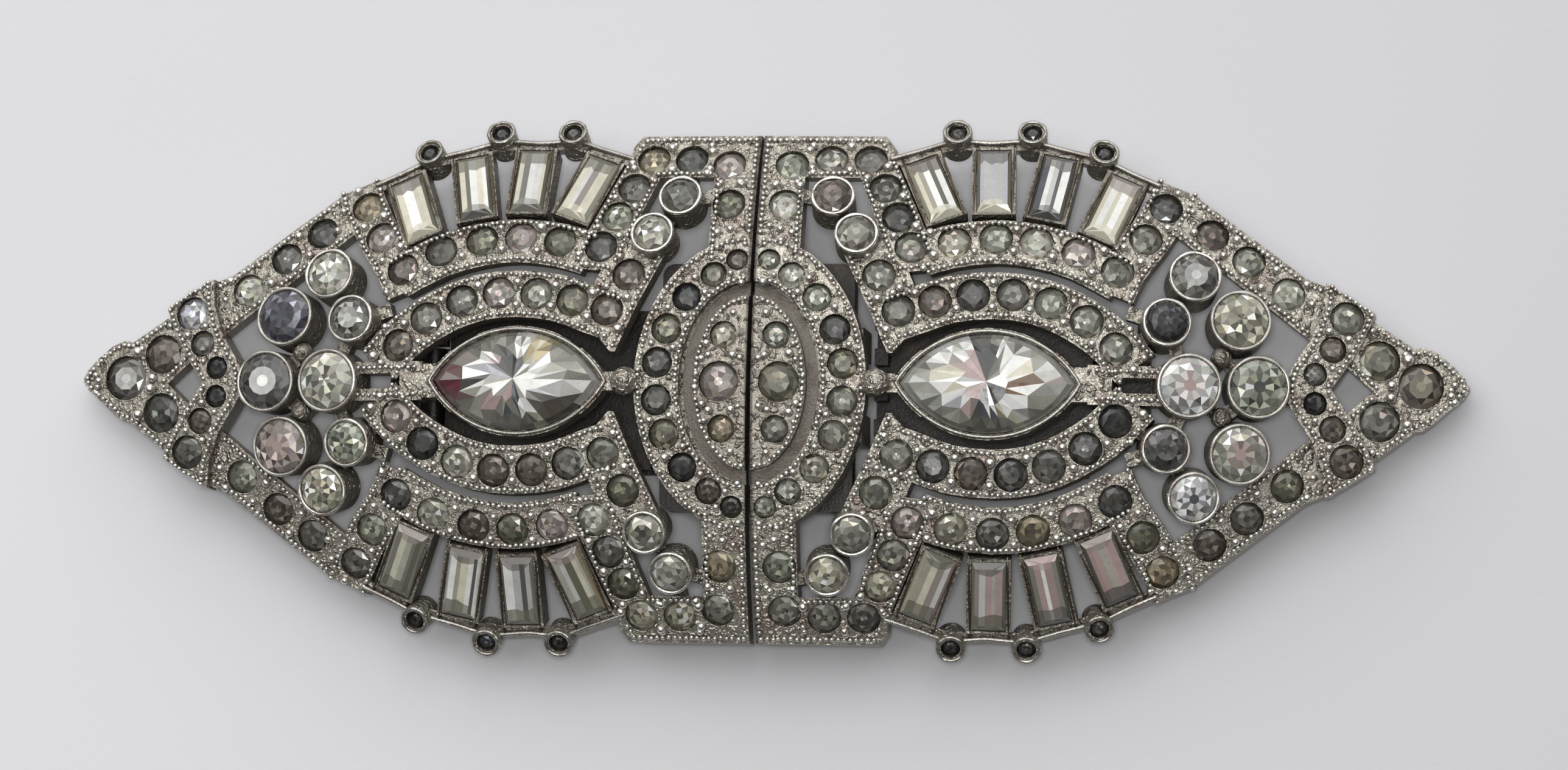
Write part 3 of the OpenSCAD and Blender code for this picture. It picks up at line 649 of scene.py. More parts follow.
def add_grains(pile, form, rng, spots, half, size, rise, size_shake, place_shake, limit):
    """Adds a ball at each spot, its size and place shaken a little, as if set by hand."""
    points, quads, tris = form
    k = len(spots)
    size = size * (1 + size_shake * rng.standard_normal(k)).clip(1 - limit, 1 + limit)
    x = spots[:, 0] + place_shake * rng.standard_normal(k)
    y = half * (spots[:, 1] + place_shake * rng.standard_normal(k))
    pile.add(placed(points[None] * size[:, None, None], x, y, 0.0, rise + GRAIN_RISE),
             quads=quads, tris=tris)


def profile_round(width, height, sides=8):
    """A rounded profile: (w/2 cos v, h sin v)."""
    v = np.arange(sides) * 2 * np.pi / sides
    return np.stack([width / 2 * np.cos(v), height * np.sin(v)], 1)


def both_halves(table):
    """Names, halves and rows of a table, with each stone off the long axis given twice."""
    names, halves, rows = [], [], []
    for name, row in table.items():
        for half in ((1, -1) if row[1] > NO_TWIN else (1,)):
            names.append(name)
            halves.append(half)
            rows.append((row[0], half * row[1]) + tuple(row[2:]))
    return names, np.array(halves), np.array(rows, float)


def tint_of(side, half, name):
    """The linear colours charted for a stone and, where it has its own, for its middle."""
    word, _, middle = STONE_WORDS[name][QUARTERS.index((side, half))].partition("/")
    return TINTS[word], TINTS.get(middle)


# Cut stones


def brilliant_form(sides, crown, depth):
    """A round cut stone of radius one: rings of points at (r cos a, r sin a, z), with a table
    and its facets, twice as many points round the girdle, a ledge below it, and a closed back.

    The table stands at z = 0, the girdle at -crown and the back at -depth."""
    def ring(count, r, z, turn=0.0):
        return round_points(2 * np.pi * (np.arange(count) + turn) / count, r, z)

    n, m = sides, 2 * sides
    points = np.vstack([[[0, 0, 0.0]], ring(n, CULET, 0.0, 0.5), ring(n, TABLE, 0.0, 0.5),
                        ring(n, STAR, -STAR_DROP * crown), ring(m, 1.0, -crown),
                        ring(m, LEDGE, -crown - LEDGE_DROP), ring(m, BACK, -depth),
                        [[0, 0, -depth]]])
    a, b, c, d = 1, 1 + n, 1 + 2 * n, 1 + 3 * n
    e, f, last = d + m, d + 2 * m, d + 3 * m
    k = np.arange(n)
    k1, km, km1 = (k + 1) % n, np.arange(m), (np.arange(m) + 1) % m
    tris = np.vstack([
        faces_of(0, a + k, a + k1), faces_of(b + k, c + k1, b + k1),
        faces_of(b + k, c + k, c + k1), faces_of(c + k, d + 2 * k, d + 2 * k + 1),
        faces_of(c + k, d + 2 * k + 1, c + k1),
        faces_of(c + k1, d + 2 * k + 1, d + (2 * k + 2) % m), faces_of(last, f + km1, f + km)])
    quads = np.vstack([
        faces_of(a + k, b + k, b + k1, a + k1), faces_of(d + km, e + km, e + km1, d + km1),
        faces_of(e + km, f + km, f + km1, e + km1)])
    tri_rings = np.repeat([0, 2, 3, 4, 5, 4, 7], [n, n, n, n, n, n, m])
    quad_rings = np.repeat([1, 6, 7], [n, m, m])
    return points, quads, tris, quad_rings, tri_rings


# painted light and shade of each ring of facets, in four looks: culet, table, star, kite, girdle
# facets beside and between, edge, back; the edge and the back are darkest, as painted shade
LOOKS = np.array([
    [0.45, 1.40, 0.68, 1.05, 0.72, 0.85, 0.34, 0.2],
    [1.70, 0.62, 1.30, 0.80, 0.65, 0.70, 0.32, 0.2],
    [0.80, 1.00, 0.75, 1.05, 0.90, 0.95, 0.40, 0.2],
    [0.50, 1.50, 0.60, 1.25, 0.75, 0.95, 0.34, 0.2],
])
# the ring of the edge: only the rings before it glint, by a gain and a lift of their tone
EDGE_RING, GLINT_GAIN, GLINT_LIFT = 6, 2.6, 0.25


def facet_tones(base, rings, rng, looks, spread):
    """Tones of k stones' facets: tint x ring brightness x a lognormal shake, with few glints."""
    k, n = len(base), len(rings)
    level = LOOKS[looks][:, rings] * np.exp(spread * rng.standard_normal((k, n)))
    glint = rng.random((k, n)) < GLINT_SHARE
    level = np.where(glint & (rings[None] < EDGE_RING), level * GLINT_GAIN + GLINT_LIFT, level)
    hue = 1 + HUE_SHAKE * rng.standard_normal((k, n, 3))
    return np.clip(base[:, None] * level[..., None] * hue, DARKEST, BRIGHTEST)


def add_round_stones(pile, side, names, halves, rows, diameter, seed, spread, sides, crown,
                     table, rays):
    """Adds round stones with their charted tints, each turned and tipped by a small angle.

    Rows hold x, y, a size and the rise. The rays make every second part of the table darker,
    as the back facets show through it."""
    rng = np.random.default_rng(seed)
    points, quads, tris, quad_rings, tri_rings = brilliant_form(sides, crown,
                                                                table + STONE_DEPTH)
    k = len(names)
    radius = diameter / 2
    local = points[None] * np.stack([radius, radius, np.ones(k)], -1)[:, None]
    local[..., 2] += table
    tilt = TILT_SHAKE * rng.standard_normal((k, 2))
    above = (points[:, 2] > -crown)[None]
    local[..., 2] += np.where(above, local[..., 0] * tilt[:, :1] + local[..., 1] * tilt[:, 1:], 0)
    charted = [tint_of(side, h, n) for h, n in zip(halves, names)]
    base = np.array([tint for tint, _ in charted])
    looks = rng.integers(0, len(LOOKS), k)
    placed_points = placed(local, rows[:, 0], rows[:, 1], rng.uniform(0, 45, k), rows[:, 3])
    quad_tones = facet_tones(base, quad_rings, rng, looks, spread)
    tri_tones = facet_tones(base, tri_rings, rng, looks, spread)
    odd = np.where(np.arange(sides) % 2, 1 - rays, 1 + 0.4 * rays)[None, :, None]
    quad_tones[:, :sides] *= odd
    tri_tones[:, sides:2 * sides] *= odd[:, ::-1]
    for i, (_, middle) in enumerate(charted):
        if middle:
            tri_tones[i, :sides] = middle
            quad_tones[i, :sides] = (1 - MIDDLE_SHARE) * quad_tones[i, :sides] \
                + MIDDLE_SHARE * np.array(middle)
    pile.add(placed_points, quads=quads, tris=tris,
             quad_tones=quad_tones.clip(DARKEST, BRIGHTEST),
             tri_tones=tri_tones.clip(DARKEST, BRIGHTEST))


def add_baguette(pile, side, index, words, seed):
    """Adds a rectangular step-cut stone: a bevelled block with its table cut in long strips.

    Rows of the table run from the inner end: a mitred end, the clear middle and the dirty
    outer end. A point of the table is (u, v, table height + a small step of its strip)."""
    rng = np.random.default_rng(seed)
    x, y, lean = BAGUETTES[index % 4]
    half = 1 if index < 4 else -1
    tint = np.array([TINTS[w] for w in words])
    if side == "left":
        tint[:7] = tint[6::-1]
    left_bevel, strips, right_bevel, inner_end, outer_end = (tint[0], tint[1:6], tint[6],
                                                             tint[7], tint[8])
    across = np.array(STRIP_EDGES)
    across[1:5] += STRIP_SHAKE * rng.standard_normal(4)
    lift = np.array(STRIP_STEPS) + BAGUETTE_TABLE
    dirt = DIRT_LINE + DIRT_SHAKE * rng.standard_normal(6)
    table = [np.stack([across, v + 0 * across, lift], 1)
             for v in (-TABLE_END + 0 * across, np.array(MITRE), dirt, TABLE_END + 0 * across)]

    def box(a, b, z):
        return np.array([[-a, -b, z], [a, -b, z], [a, b, z], [-a, b, z]])

    points = np.vstack([box(*corner) for corner in BAGUETTE_BOXES] + table)
    points[:, 1] *= half
    k = np.arange(4)
    k1 = (k + 1) % 4
    quads = [np.array([[3, 2, 1, 0]]), faces_of(k, k1, 4 + k1, 4 + k),
             faces_of(4 + k, 4 + k1, 8 + k1, 8 + k)]
    tones = [np.tile(left_bevel * BACK_SHADE, (5, 1)), np.tile(left_bevel * WALL_SHADE, (4, 1))]
    tris, tri_tones = [], []
    for low, run, tone in ((8, np.arange(12, 18), inner_end),
                           (10, np.arange(35, 29, -1), outer_end)):
        # an end bevel: a fan from its two girdle corners along the strips' ends
        tris += [[low, low + 1, run[3]]] + [[low, run[i + 1], run[i]] for i in range(3)]
        tris += [[low + 1, run[i + 1], run[i]] for i in range(3, 5)]
        tri_tones += [tone * shade for shade in END_SHADES]
    for low, high, edge, tone in ((9, 10, 17 + 6 * k, right_bevel),
                                  (11, 8, 12 + 6 * k[::-1], left_bevel)):
        # a long bevel: a fan of four from its girdle corners along the table's edge
        tris += [[low, high, edge[2]], [low, edge[1], edge[0]], [low, edge[2], edge[1]],
                 [high, edge[3], edge[2]]]
        tri_tones += [tone * shade for shade in LONG_SHADES]
    for row, (share, end) in enumerate(((INNER_SHARE, inner_end), (0, inner_end),
                                        (OUTER_SHARE, outer_end))):
        first = 12 + 6 * row + np.arange(5)
        quads.append(faces_of(first, first + 1, first + 7, first + 6))
        strip = strips * np.exp(TONE_SHAKE * rng.standard_normal((5, 1)))
        tones.append((1 - share) * strip + share * end * STRIP_SHADES)
    quads, tris = np.vstack(quads), np.array(tris)
    if half < 0:
        quads, tris = quads[:, ::-1], tris[:, ::-1]
    pile.add(placed(points, x, half * y, -half * lean), quads=quads, tris=tris,
             quad_tones=np.clip(np.vstack(tones), DARKEST, BRIGHTEST),
             tri_tones=np.clip(np.array(tri_tones), DARKEST, BRIGHTEST))


def oval_reach(angle, length, width):
    """Distance from the middle of a pointed oval to its edge at an angle.

    The upper edge is the circle x^2 + (y + r - w/2)^2 = r^2, so with c = r - w/2 the distance
    is -c |sin a| + sqrt(c^2 sin^2 a + r^2 - c^2)."""
    r = (length**2 + width**2) / (4 * width)
    c = r - width / 2
    s = np.abs(np.sin(angle))
    return -c * s + np.sqrt(c * c * s * s + r * r - c * c)


def add_marquise(pile, side, seed):
    """Adds the long pointed stone: spokes from the middle with a star, kites and outer facets.

    A point at the share f of the way to the edge stands at the height of the crown's profile,
    which goes in straight steps down to the edge."""
    rng = np.random.default_rng(seed)
    x, length, width = MARQUISE
    rows = word_rows(POINTED_FACETS[side])
    angle, star, kite = np.array([row[:3] for row in rows], float).T
    angle = np.radians(angle)
    tint = np.array([[TINTS[w] for w in row[3:]] for row in rows])
    if side == "left":
        angle = np.pi - angle
    n = len(rows)
    step = (np.roll(angle, -1) - angle + np.pi) % (2 * np.pi) - np.pi
    fine = np.stack([angle, angle + step / 2], 1).ravel()
    reach, fine_reach = oval_reach(angle, length, width), oval_reach(fine, length, width)

    def ring(a, distance, share, drop=0.0):
        return round_points(a, distance, np.interp(share, CROWN_SHARES, CROWN_HEIGHTS) - drop)

    points = np.vstack([
        [POINTED_MIDDLE], ring(angle, star, star / reach), ring(angle, kite * reach, kite),
        ring(fine, FINE_RING * fine_reach, FINE_RING), ring(fine, fine_reach, 1.0),
        ring(fine, fine_reach, 1.0, GIRDLE_DROP),
        ring(fine, BACK_REACH * fine_reach, 1.0, BACK_DROP), [BACK_MIDDLE]])
    k = np.arange(n)
    k1 = (k + 1) % n
    a, b, c = 1, 1 + n, 1 + 2 * n
    m = 2 * n
    e, e1, e2 = c + 2 * k, c + 2 * k + 1, c + (2 * k + 2) % m
    q = np.arange(m)
    q1 = (q + 1) % m
    tris = [faces_of(0, a + k, a + k1), faces_of(a + k, b + k, a + k1),
            faces_of(a + k1, b + k, b + k1), faces_of(b + k, e, e1), faces_of(b + k, e1, b + k1),
            faces_of(b + k1, e1, e2)]
    tones = [tint[:, 0], tint[:, 1], tint[:, 2], tint[:, 3], (tint[:, 3] + tint[:, 4]) / 2,
             tint[:, 4]]
    edge = np.repeat(tint[:, 3:].mean(1), 2, axis=0)
    # the outer edge, the girdle and the slope to the back, each in two triangles a step
    for i, shade in enumerate(EDGE_SHADES):
        low, high = c + (i + 1) * m, c + i * m
        tris += [faces_of(high + q, low + q, high + q1), faces_of(high + q1, low + q, low + q1)]
        tones += [edge * shade, edge * shade]
    last = c + 4 * m
    tris.append(faces_of(last, c + 3 * m + q1, c + 3 * m + q))
    tones.append(edge * EDGE_SHADES[-1])
    tones = [np.clip(t * np.exp(POINTED_SHAKE * rng.standard_normal((len(t), 1))), DARKEST,
                     POINTED_BRIGHTEST) for t in tones]
    tris = np.vstack(tris)
    if side == "right":
        tris = tris[:, ::-1]
    pile.add(placed(points, x, 0.0), tris=tris, tri_tones=np.vstack(tones))


# Materials


def feed(tree, node, values):
    """Links or sets a node's inputs, by name or number."""
    for key, value in values.items():
        if isinstance(value, bpy.types.NodeSocket):
            tree.links.new(value, node.inputs[key])
        else:
            node.inputs[key].default_value = value
    return node


def new_node(tree, kind, values=None, **settings):
    """Adds a node, sets its settings, and links or sets its inputs."""
    node = tree.nodes.new(kind)
    for key, value in settings.items():
        setattr(node, key, value)
    return feed(tree, node, values or {})


def shade_group(name, inputs, outputs):
    """A new shader node group with named inputs and outputs, and its two end nodes."""
    tree = bpy.data.node_groups.new(name, "ShaderNodeTree")
    kinds = {"float": "NodeSocketFloat", "colour": "NodeSocketColor"}
    for label, kind, default in inputs:
        tree.interface.new_socket(label, in_out="INPUT", socket_type=kinds[kind]
                                  ).default_value = default
    for label, kind in outputs:
        tree.interface.new_socket(label, in_out="OUTPUT", socket_type=kinds[kind])
    return tree, tree.nodes.new("NodeGroupInput"), tree.nodes.new("NodeGroupOutput")


def mix(tree, factor, a, b, how="MIX"):
    """Mixes two colours and returns the result."""
    return new_node(tree, "ShaderNodeMix", {0: factor, 6: a, 7: b}, data_type="RGBA",
                    blend_type=how).outputs[2]


def maths(tree, how, a, b=0.0, c=0.0):
    """One sum and its result."""
    return new_node(tree, "ShaderNodeMath", {0: a, 1: b, 2: c}, operation=how).outputs[0]


def times(tree, a, b):
    """The product of two values."""
    return maths(tree, "MULTIPLY", a, b)


def largest(tree, value, *others):
    """The largest of several values."""
    for other in others:
        value = maths(tree, "MAXIMUM", value, other)
    return value


def spread(tree, value, low, high, to_low=0.0, to_high=1.0):
    """A clamped map from one range to another."""
    return new_node(tree, "ShaderNodeMapRange", {0: value, 1: low, 2: high, 3: to_low, 4: to_high},
                    clamp=True).outputs[0]


def millimetres(tree):
    """Object coordinates in millimetres."""
    place = new_node(tree, "ShaderNodeTexCoord").outputs["Object"]
    return new_node(tree, "ShaderNodeMapping", {"Vector": place, "Scale": (1000, 1000, 1000)}
                    ).outputs[0]


def noise(tree, place, scale, detail=2.0, roughness=0.5):
    """The value and the colour of a noise."""
    return new_node(tree, "ShaderNodeTexNoise", {
        "Vector": place, "Scale": scale, "Detail": detail, "Roughness": roughness}).outputs


def worn_metal_group():
    """Old plated casting: cloudy silver, grime and painted shade in the hollows, painted shade on
    the steep walls, warm wear and a given black darkening.

    The ground between the stones is pebbled: rounded cells with dark seams between them."""
    tree, start, end = shade_group(
        "Worn plated casting",
        [("Silver", "colour", (0.6, 0.58, 0.55, 1)), ("Grime and shade", "colour", (0.05, 0.04, 0.035, 1)),
         ("Wear", "colour", (0.42, 0.30, 0.26, 1)), ("Grime and shade amount", "float", 1.0),
         ("Darkening", "float", 0.0), ("Pebble", "float", 1.0)],
        [("Colour", "colour"), ("Roughness", "float"), ("Metallic", "float"), ("Height", "float")])
    given = start.outputs
    mm = millimetres(tree)
    cloud, fine = noise(tree, mm, 0.7, 4.0)[0], noise(tree, mm, 6.0, 4.0, 0.65)[0]
    bent = new_node(tree, "ShaderNodeVectorMath", {0: mm, 1: noise(tree, mm, 2.0)[1]},
                    operation="ADD").outputs[0]
    cells = {"Vector": bent, "Scale": 2.3}
    cell = new_node(tree, "ShaderNodeTexVoronoi", cells).outputs[0]
    seam = new_node(tree, "ShaderNodeTexVoronoi", cells, feature="DISTANCE_TO_EDGE").outputs[0]
    # grime and painted shade lie where little light gets in, by ambient occlusion; painted shade
    # darkens the walls; grime lies in the pebble's seams and in spots
    hollow = new_node(tree, "ShaderNodeAmbientOcclusion", {"Distance": 0.0005}, samples=6
                      ).outputs["AO"]
    # grime and painted shade in the hollows, from ambient occlusion
    dirt = times(tree, spread(tree, hollow, 0.80, 0.25), given["Grime and shade amount"])
    dirt = times(tree, dirt, spread(tree, fine, 0.3, 0.7, 0.6, 1.3))
    shape = new_node(tree, "ShaderNodeNewGeometry").outputs["Normal"]
    facing = new_node(tree, "ShaderNodeSeparateXYZ", {0: shape}).outputs[2]
    # painted shade: a face is darker the more it turns sideways
    wall = spread(tree, facing, 0.7, 0.1, 0.0, 0.42)
    pits = times(tree, spread(tree, seam, 0.10, 0.0), given["Pebble"])
    spots = times(tree, spread(tree, fine, 0.56, 0.68), 0.4)
    dark = largest(tree, dirt, wall, times(tree, pits, 0.7),
                   times(tree, spots, given["Grime and shade amount"]), given["Darkening"])
    dark = maths(tree, "MINIMUM", dark, 1.0)
    # the silver is duller in patches and gone in clouds
    dull = mix(tree, 1.0, given["Silver"], (0.62, 0.60, 0.54, 1), "MULTIPLY")
    silver = mix(tree, spread(tree, fine, 0.3, 0.75, 0.0, 0.8), given["Silver"], dull)
    base = mix(tree, spread(tree, cloud, 0.54, 0.66, 0.0, 0.6), silver, given["Wear"])
    pebble = times(tree, spread(tree, cell, 0.0, 0.55, 1.0, 0.0), given["Pebble"])
    feed(tree, end, {
        "Colour": mix(tree, dark, base, given["Grime and shade"]),
        "Roughness": maths(tree, "ADD", spread(tree, fine, 0.25, 0.75, 0.16, 0.34),
                           times(tree, dark, 0.25)),
        "Metallic": maths(tree, "SUBTRACT", 1.0, times(tree, dark, 0.5)),
        "Height": maths(tree, "ADD", times(tree, fine, 0.4), pebble)})


def old_glass_group():
    """Old foiled glass: the facet's tone, clouded and spotted where the foil has died."""
    tree, start, end = shade_group(
        "Old foiled glass", [("Tone", "colour", (0.3, 0.3, 0.3, 1)), ("Cloud", "float", 0.5)],
        [("Colour", "colour"), ("Roughness", "float"), ("Height", "float")])
    mm = millimetres(tree)
    cloud, spots = noise(tree, mm, 1.6, 5.0)[0], noise(tree, mm, 5.5, 4.0)[0]
    # a yellowish veil in clouds, then small dark spots
    veil = times(tree, spread(tree, cloud, 0.4, 0.72), start.outputs["Cloud"])
    soft = mix(tree, veil, start.outputs["Tone"], (0.11, 0.105, 0.082, 1))
    spot = times(tree, spread(tree, spots, 0.62, 0.70), start.outputs["Cloud"])
    feed(tree, end, {"Colour": mix(tree, spot, soft, (0.03, 0.026, 0.022, 1)),
                     "Roughness": spread(tree, cloud, 0.3, 0.8, 0.10, 0.34), "Height": spots})


def new_material(name):
    """A material with its tree cleared to one shader and the output."""
    material = bpy.data.materials.new(name)
    material.use_nodes = True
    tree = material.node_tree
    tree.nodes.clear()
    shader = tree.nodes.new("ShaderNodeBsdfPrincipled")
    out = tree.nodes.new("ShaderNodeOutputMaterial")
    tree.links.new(shader.outputs[0], out.inputs[0])
    return material, tree, shader


def bumps(tree, height, strength, distance):
    """A normal raised by a height."""
    return new_node(tree, "ShaderNodeBump", {"Height": height, "Strength": strength,
                                             "Distance": distance}).outputs[0]


def oval_measure(tree, x, y, wide, high):
    """(x / a)^2 + (y / b)^2, which is one on the oval."""
    u = maths(tree, "POWER", maths(tree, "DIVIDE", x, wide), 2.0)
    return maths(tree, "ADD", u, maths(tree, "POWER", maths(tree, "DIVIDE", y, high), 2.0))


def dark_places(tree, pebble, wear):
    """Where the brooch is darker: the walls of the rectangular stones, the cups, the middle
    oval's ground, and the seam between the clips, which holds a painted shadow. The groove is also
    smooth and brown."""
    place = new_node(tree, "ShaderNodeSeparateXYZ", {0: millimetres(tree)}).outputs
    x, y = maths(tree, "ABSOLUTE", place[0]), maths(tree, "ABSOLUTE", place[1])
    inner = oval_measure(tree, x, y, *GROOVE_INNER)
    outer = oval_measure(tree, x, y, *GROOVE_OUTER)
    groove = times(tree, spread(tree, inner, 1.0, 1.04), spread(tree, outer, 1.0, 0.97))
    # the walls of the rectangular stones lie between two circles and two slanting lines
    fan_x, fan_y = maths(tree, "SUBTRACT", x, FAN_X), maths(tree, "ADD", y, FAN_DROP)
    walls = spread(tree, oval_measure(tree, fan_x, fan_y, FAN_INNER, FAN_INNER), 1.0, 1.01)
    depth = spread(tree, oval_measure(tree, fan_x, fan_y, FAN_OUTER, FAN_OUTER), 0.99, 1.01,
                   0.6, 0.3)
    first_side = spread(tree, maths(tree, "MULTIPLY_ADD", y, 0.44, x), 13.65, 13.85)
    last_side = spread(tree, maths(tree, "MULTIPLY_ADD", y, -0.55, x), 16.75, 16.6)
    fan = times(tree, times(tree, walls, depth), times(tree, first_side, last_side))
    cups = times(tree, spread(tree, x, 23.6, 24.6, 0, 0.45),
                 times(tree, spread(tree, x, 31.2, 30.6), spread(tree, y, 6.9, 5.9)))
    # a painted shadow in the seam between the clips
    seam = spread(tree, x, 0.36, 0.20, 0.0, 0.85)
    ground = spread(tree, inner, 1.0, 0.96, 0.0, 0.28)
    darkening = largest(tree, fan, seam, cups, times(tree, groove, 0.78), ground)
    return (spread(tree, groove, 0.0, 1.0, pebble, 0.0),
            mix(tree, groove, wear, (0.22, 0.155, 0.12, 1)), darkening)


def metal_material(name, silver, grime_and_shade, wear, amount, pebble, darkening, bump, marked=False):
    """A finish of worn plated metal, with the brooch's darker places and the painted shadow of its
    seam where it is marked.
    """
    material, tree, shader = new_material(name)
    if marked:
        pebble, wear, darkening = dark_places(tree, pebble, wear)
    made = new_node(tree, "ShaderNodeGroup", {
        "Silver": silver, "Grime and shade": grime_and_shade, "Wear": wear, "Grime and shade amount": amount,
        "Pebble": pebble, "Darkening": darkening},
        node_tree=bpy.data.node_groups["Worn plated casting"]).outputs
    feed(tree, shader, {
        "Base Color": made["Colour"], "Roughness": made["Roughness"],
        "Metallic": made["Metallic"], "Normal": bumps(tree, made["Height"], bump, 0.00016)})
    return material


def glass_material(name, cloud, metallic, coat):
    """A finish of old foiled glass that takes each facet's tone from the mesh."""
    tree, shader = new_material(name)[1:]
    tone = new_node(tree, "ShaderNodeAttribute", attribute_name="facet_tone").outputs["Color"]
    made = new_node(tree, "ShaderNodeGroup", {"Tone": tone, "Cloud": cloud},
                    node_tree=bpy.data.node_groups["Old foiled glass"]).outputs
    feed(tree, shader, {
        "Base Color": made["Colour"], "Roughness": made["Roughness"], "Metallic": metallic,
        "Coat Weight": coat, "Coat Roughness": 0.04,
        "Normal": bumps(tree, made["Height"], 0.06, 0.00005)})


# Settings


def size_property(name, description, default, low, high):
    """A length that can be set between two limits."""
    return bpy.props.FloatProperty(name=name, description=description, default=default, min=low,
                                   max=high, precision=5, unit="LENGTH")


def colour_property(name, description, default):
    """A colour that can be set."""
    return bpy.props.FloatVectorProperty(name=name, description=description, default=default,
                                         subtype="COLOR", size=4, min=0, max=1)


class ClipMetalSettings(bpy.types.PropertyGroup):
    """Sizes and colours of the metal."""
    bead_radius: size_property(
        "Edge grain radius", "Radius of a fine grain along an edge", 0.00015, 0.0001, 0.0003)
    bead_pitch: size_property(
        "Edge grain pitch", "Distance between two fine grains", 0.00034, 0.0002, 0.0008)
    grain_radius: size_property(
        "Grain radius", "Radius of a grain between two stones", 0.00027, 0.0001, 0.0004)
    silver: colour_property(
        "Silver", "Colour of the plated casting", (0.62, 0.585, 0.51, 1))
    bright: colour_property(
        "Rubbed silver", "Colour of the rubbed grains and rims", (0.95, 0.925, 0.86, 1))
    # the colour of the grime and of the painted shade in the hollows and on the walls
    grime_and_shade: colour_property(
        "Grime and shade", "Colour of the grime in the hollows", (0.050, 0.040, 0.030, 1))
    wear: colour_property(
        "Wear", "Colour where the plating has gone", (0.42, 0.33, 0.29, 1))


class ClipStoneSettings(bpy.types.PropertyGroup):
    """Look of the stones."""
    cloud: bpy.props.FloatProperty(
        name="Cloud", description="How far the old foil has clouded and spotted",
        default=0.45, min=0, max=1, subtype="FACTOR")
    contrast: bpy.props.FloatProperty(
        name="Facet contrast", description="How much the facets of one stone differ",
        default=0.36, min=0, max=1)
    seed: bpy.props.IntProperty(
        name="Seed", description="Seed of the stones' turns and glints", default=11, min=0)


class ClipStageSettings(bpy.types.PropertyGroup):
    """The floor, the light and the camera."""
    floor: colour_property("Floor", "Colour of the floor", (0.73, 0.73, 0.745, 1))
    sky: bpy.props.FloatProperty(
        name="Sky", description="Strength of the soft light from all round", default=0.28, min=0)
    window: bpy.props.FloatProperty(
        name="Window", description="Power of the large soft light behind the brooch",
        default=1.5, min=0, unit="POWER")
    key: bpy.props.FloatProperty(
        name="Key", description="Power of the soft light close to the camera's own way",
        default=0.25, min=0, unit="POWER")
    lens: bpy.props.FloatProperty(
        name="Lens", description="Focal length of the camera in millimetres", default=118.7,
        min=20, max=400, unit="CAMERA")


def metal():
    """The settings of the metal."""
    return bpy.context.scene.clip_metal


def stones():
    """The settings of the stones."""
    return bpy.context.scene.clip_stones


def finish_of(name):
    """A material made earlier, by its name."""
    if name not in bpy.data.materials:
        raise RuntimeError(f"the finish {name!r} has not been made yet")
    return bpy.data.materials[name]


# Operators


class CLIP_OT_finishes(bpy.types.Operator):
    """Makes the finishes and gives the castings, flaps, frame and pin theirs"""
    bl_idname = "dress_clip.finishes"
    bl_label = "Metal and glass finishes"

    def execute(self, context):
        m, cloud = metal(), stones().cloud
        worn_metal_group()
        old_glass_group()
        silver, grime_and_shade, wear, bright = (tuple(c) for c in (m.silver, m.grime_and_shade, m.wear, m.bright))
        # a finish: its colour, grime and shade colour and wear, then grime and shade amount,
        # pebble, darkening and bump
        casting = metal_material("Worn plated casting", silver, grime_and_shade, wear,
                                 1.15, 1.0, 0.0, 1.0, marked=True)
        metal_material("Rubbed grains", bright, grime_and_shade, wear, 0.9, 0.0, 0.0, 0.1)
        metal_material("Rubbed rims", bright, grime_and_shade, wear, 1.25, 0.0, 0.0, 0.3, marked=True)
        metal_material("Blackened rims", (0.52, 0.50, 0.46, 1), grime_and_shade, (0.24, 0.18, 0.14, 1),
                       0.9, 0.0, 0.12, 0.5)
        metal_material("Brown walls", (0.17, 0.135, 0.095, 1), grime_and_shade, (0.13, 0.095, 0.06, 1),
                       1.0, 0.0, 0.25, 0.5)
        flap = metal_material("Dull spring metal", (0.045, 0.042, 0.040, 1),
                              (0.010, 0.009, 0.008, 1), (0.07, 0.052, 0.04, 1),
                              1.0, 0.0, 0.45, 0.4)
        pin = metal_material("Pin steel", (0.55, 0.54, 0.53, 1), grime_and_shade, (0.35, 0.30, 0.26, 1),
                             0.6, 0.0, 0.0, 0.1)
        # a glass: its cloud, how metallic its foil looks, and its gloss
        glass_material("Band glass", cloud, 0.25, 0.2)
        glass_material("Clear glass", cloud * 0.45, 0.12, 0.5)
        for name, material in (("right_casting", casting), ("left_casting", casting),
                               ("right_flap", flap), ("left_flap", flap),
                               ("brooch_frame", flap), ("pin_stem", pin)):
            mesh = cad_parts[name].data
            mesh.materials.clear()
            mesh.materials.append(material)
        return {"FINISHED"}


class CLIP_OT_edge_grains(bpy.types.Operator):
    """Lays the rows of fine grains along the edges of both castings"""
    bl_idname = "dress_clip.edge_grains"
    bl_label = "Edge grains"

    def execute(self, context):
        radius, pitch = metal().bead_radius / MM, metal().bead_pitch / MM
        rows = [(rise, corner_line(points)) for rise, *points in EDGE_ROWS.values()]
        for middle, reach, start in BAND_EDGES:
            line = smooth_line(middle)
            left = beside(line, reach)
            rows += [(0, left[left[:, 1] > start]), (0, beside(line, -reach))]
        with_twins = len(rows)
        rows += [(0, arc_line(wide, high)) for wide, high in OVAL_ROWS]
        rows.append((0, corner_line(TIP_ROW)))
        form = ball(8, 4)
        for n, side in enumerate(SIDES):
            rng = np.random.default_rng(stones().seed + n)
            pile = Pile()
            for i, (rise, line) in enumerate(rows):
                spots = even_points(line, pitch)
                for half in ((1, -1) if i < with_twins else (1,)):
                    add_grains(pile, form, rng, spots, half, radius, rise,
                               size_shake=0.10, place_shake=0.02, limit=0.25)
            pile.make(side + "_edge_grains", side, "Rubbed grains")
        return {"FINISHED"}


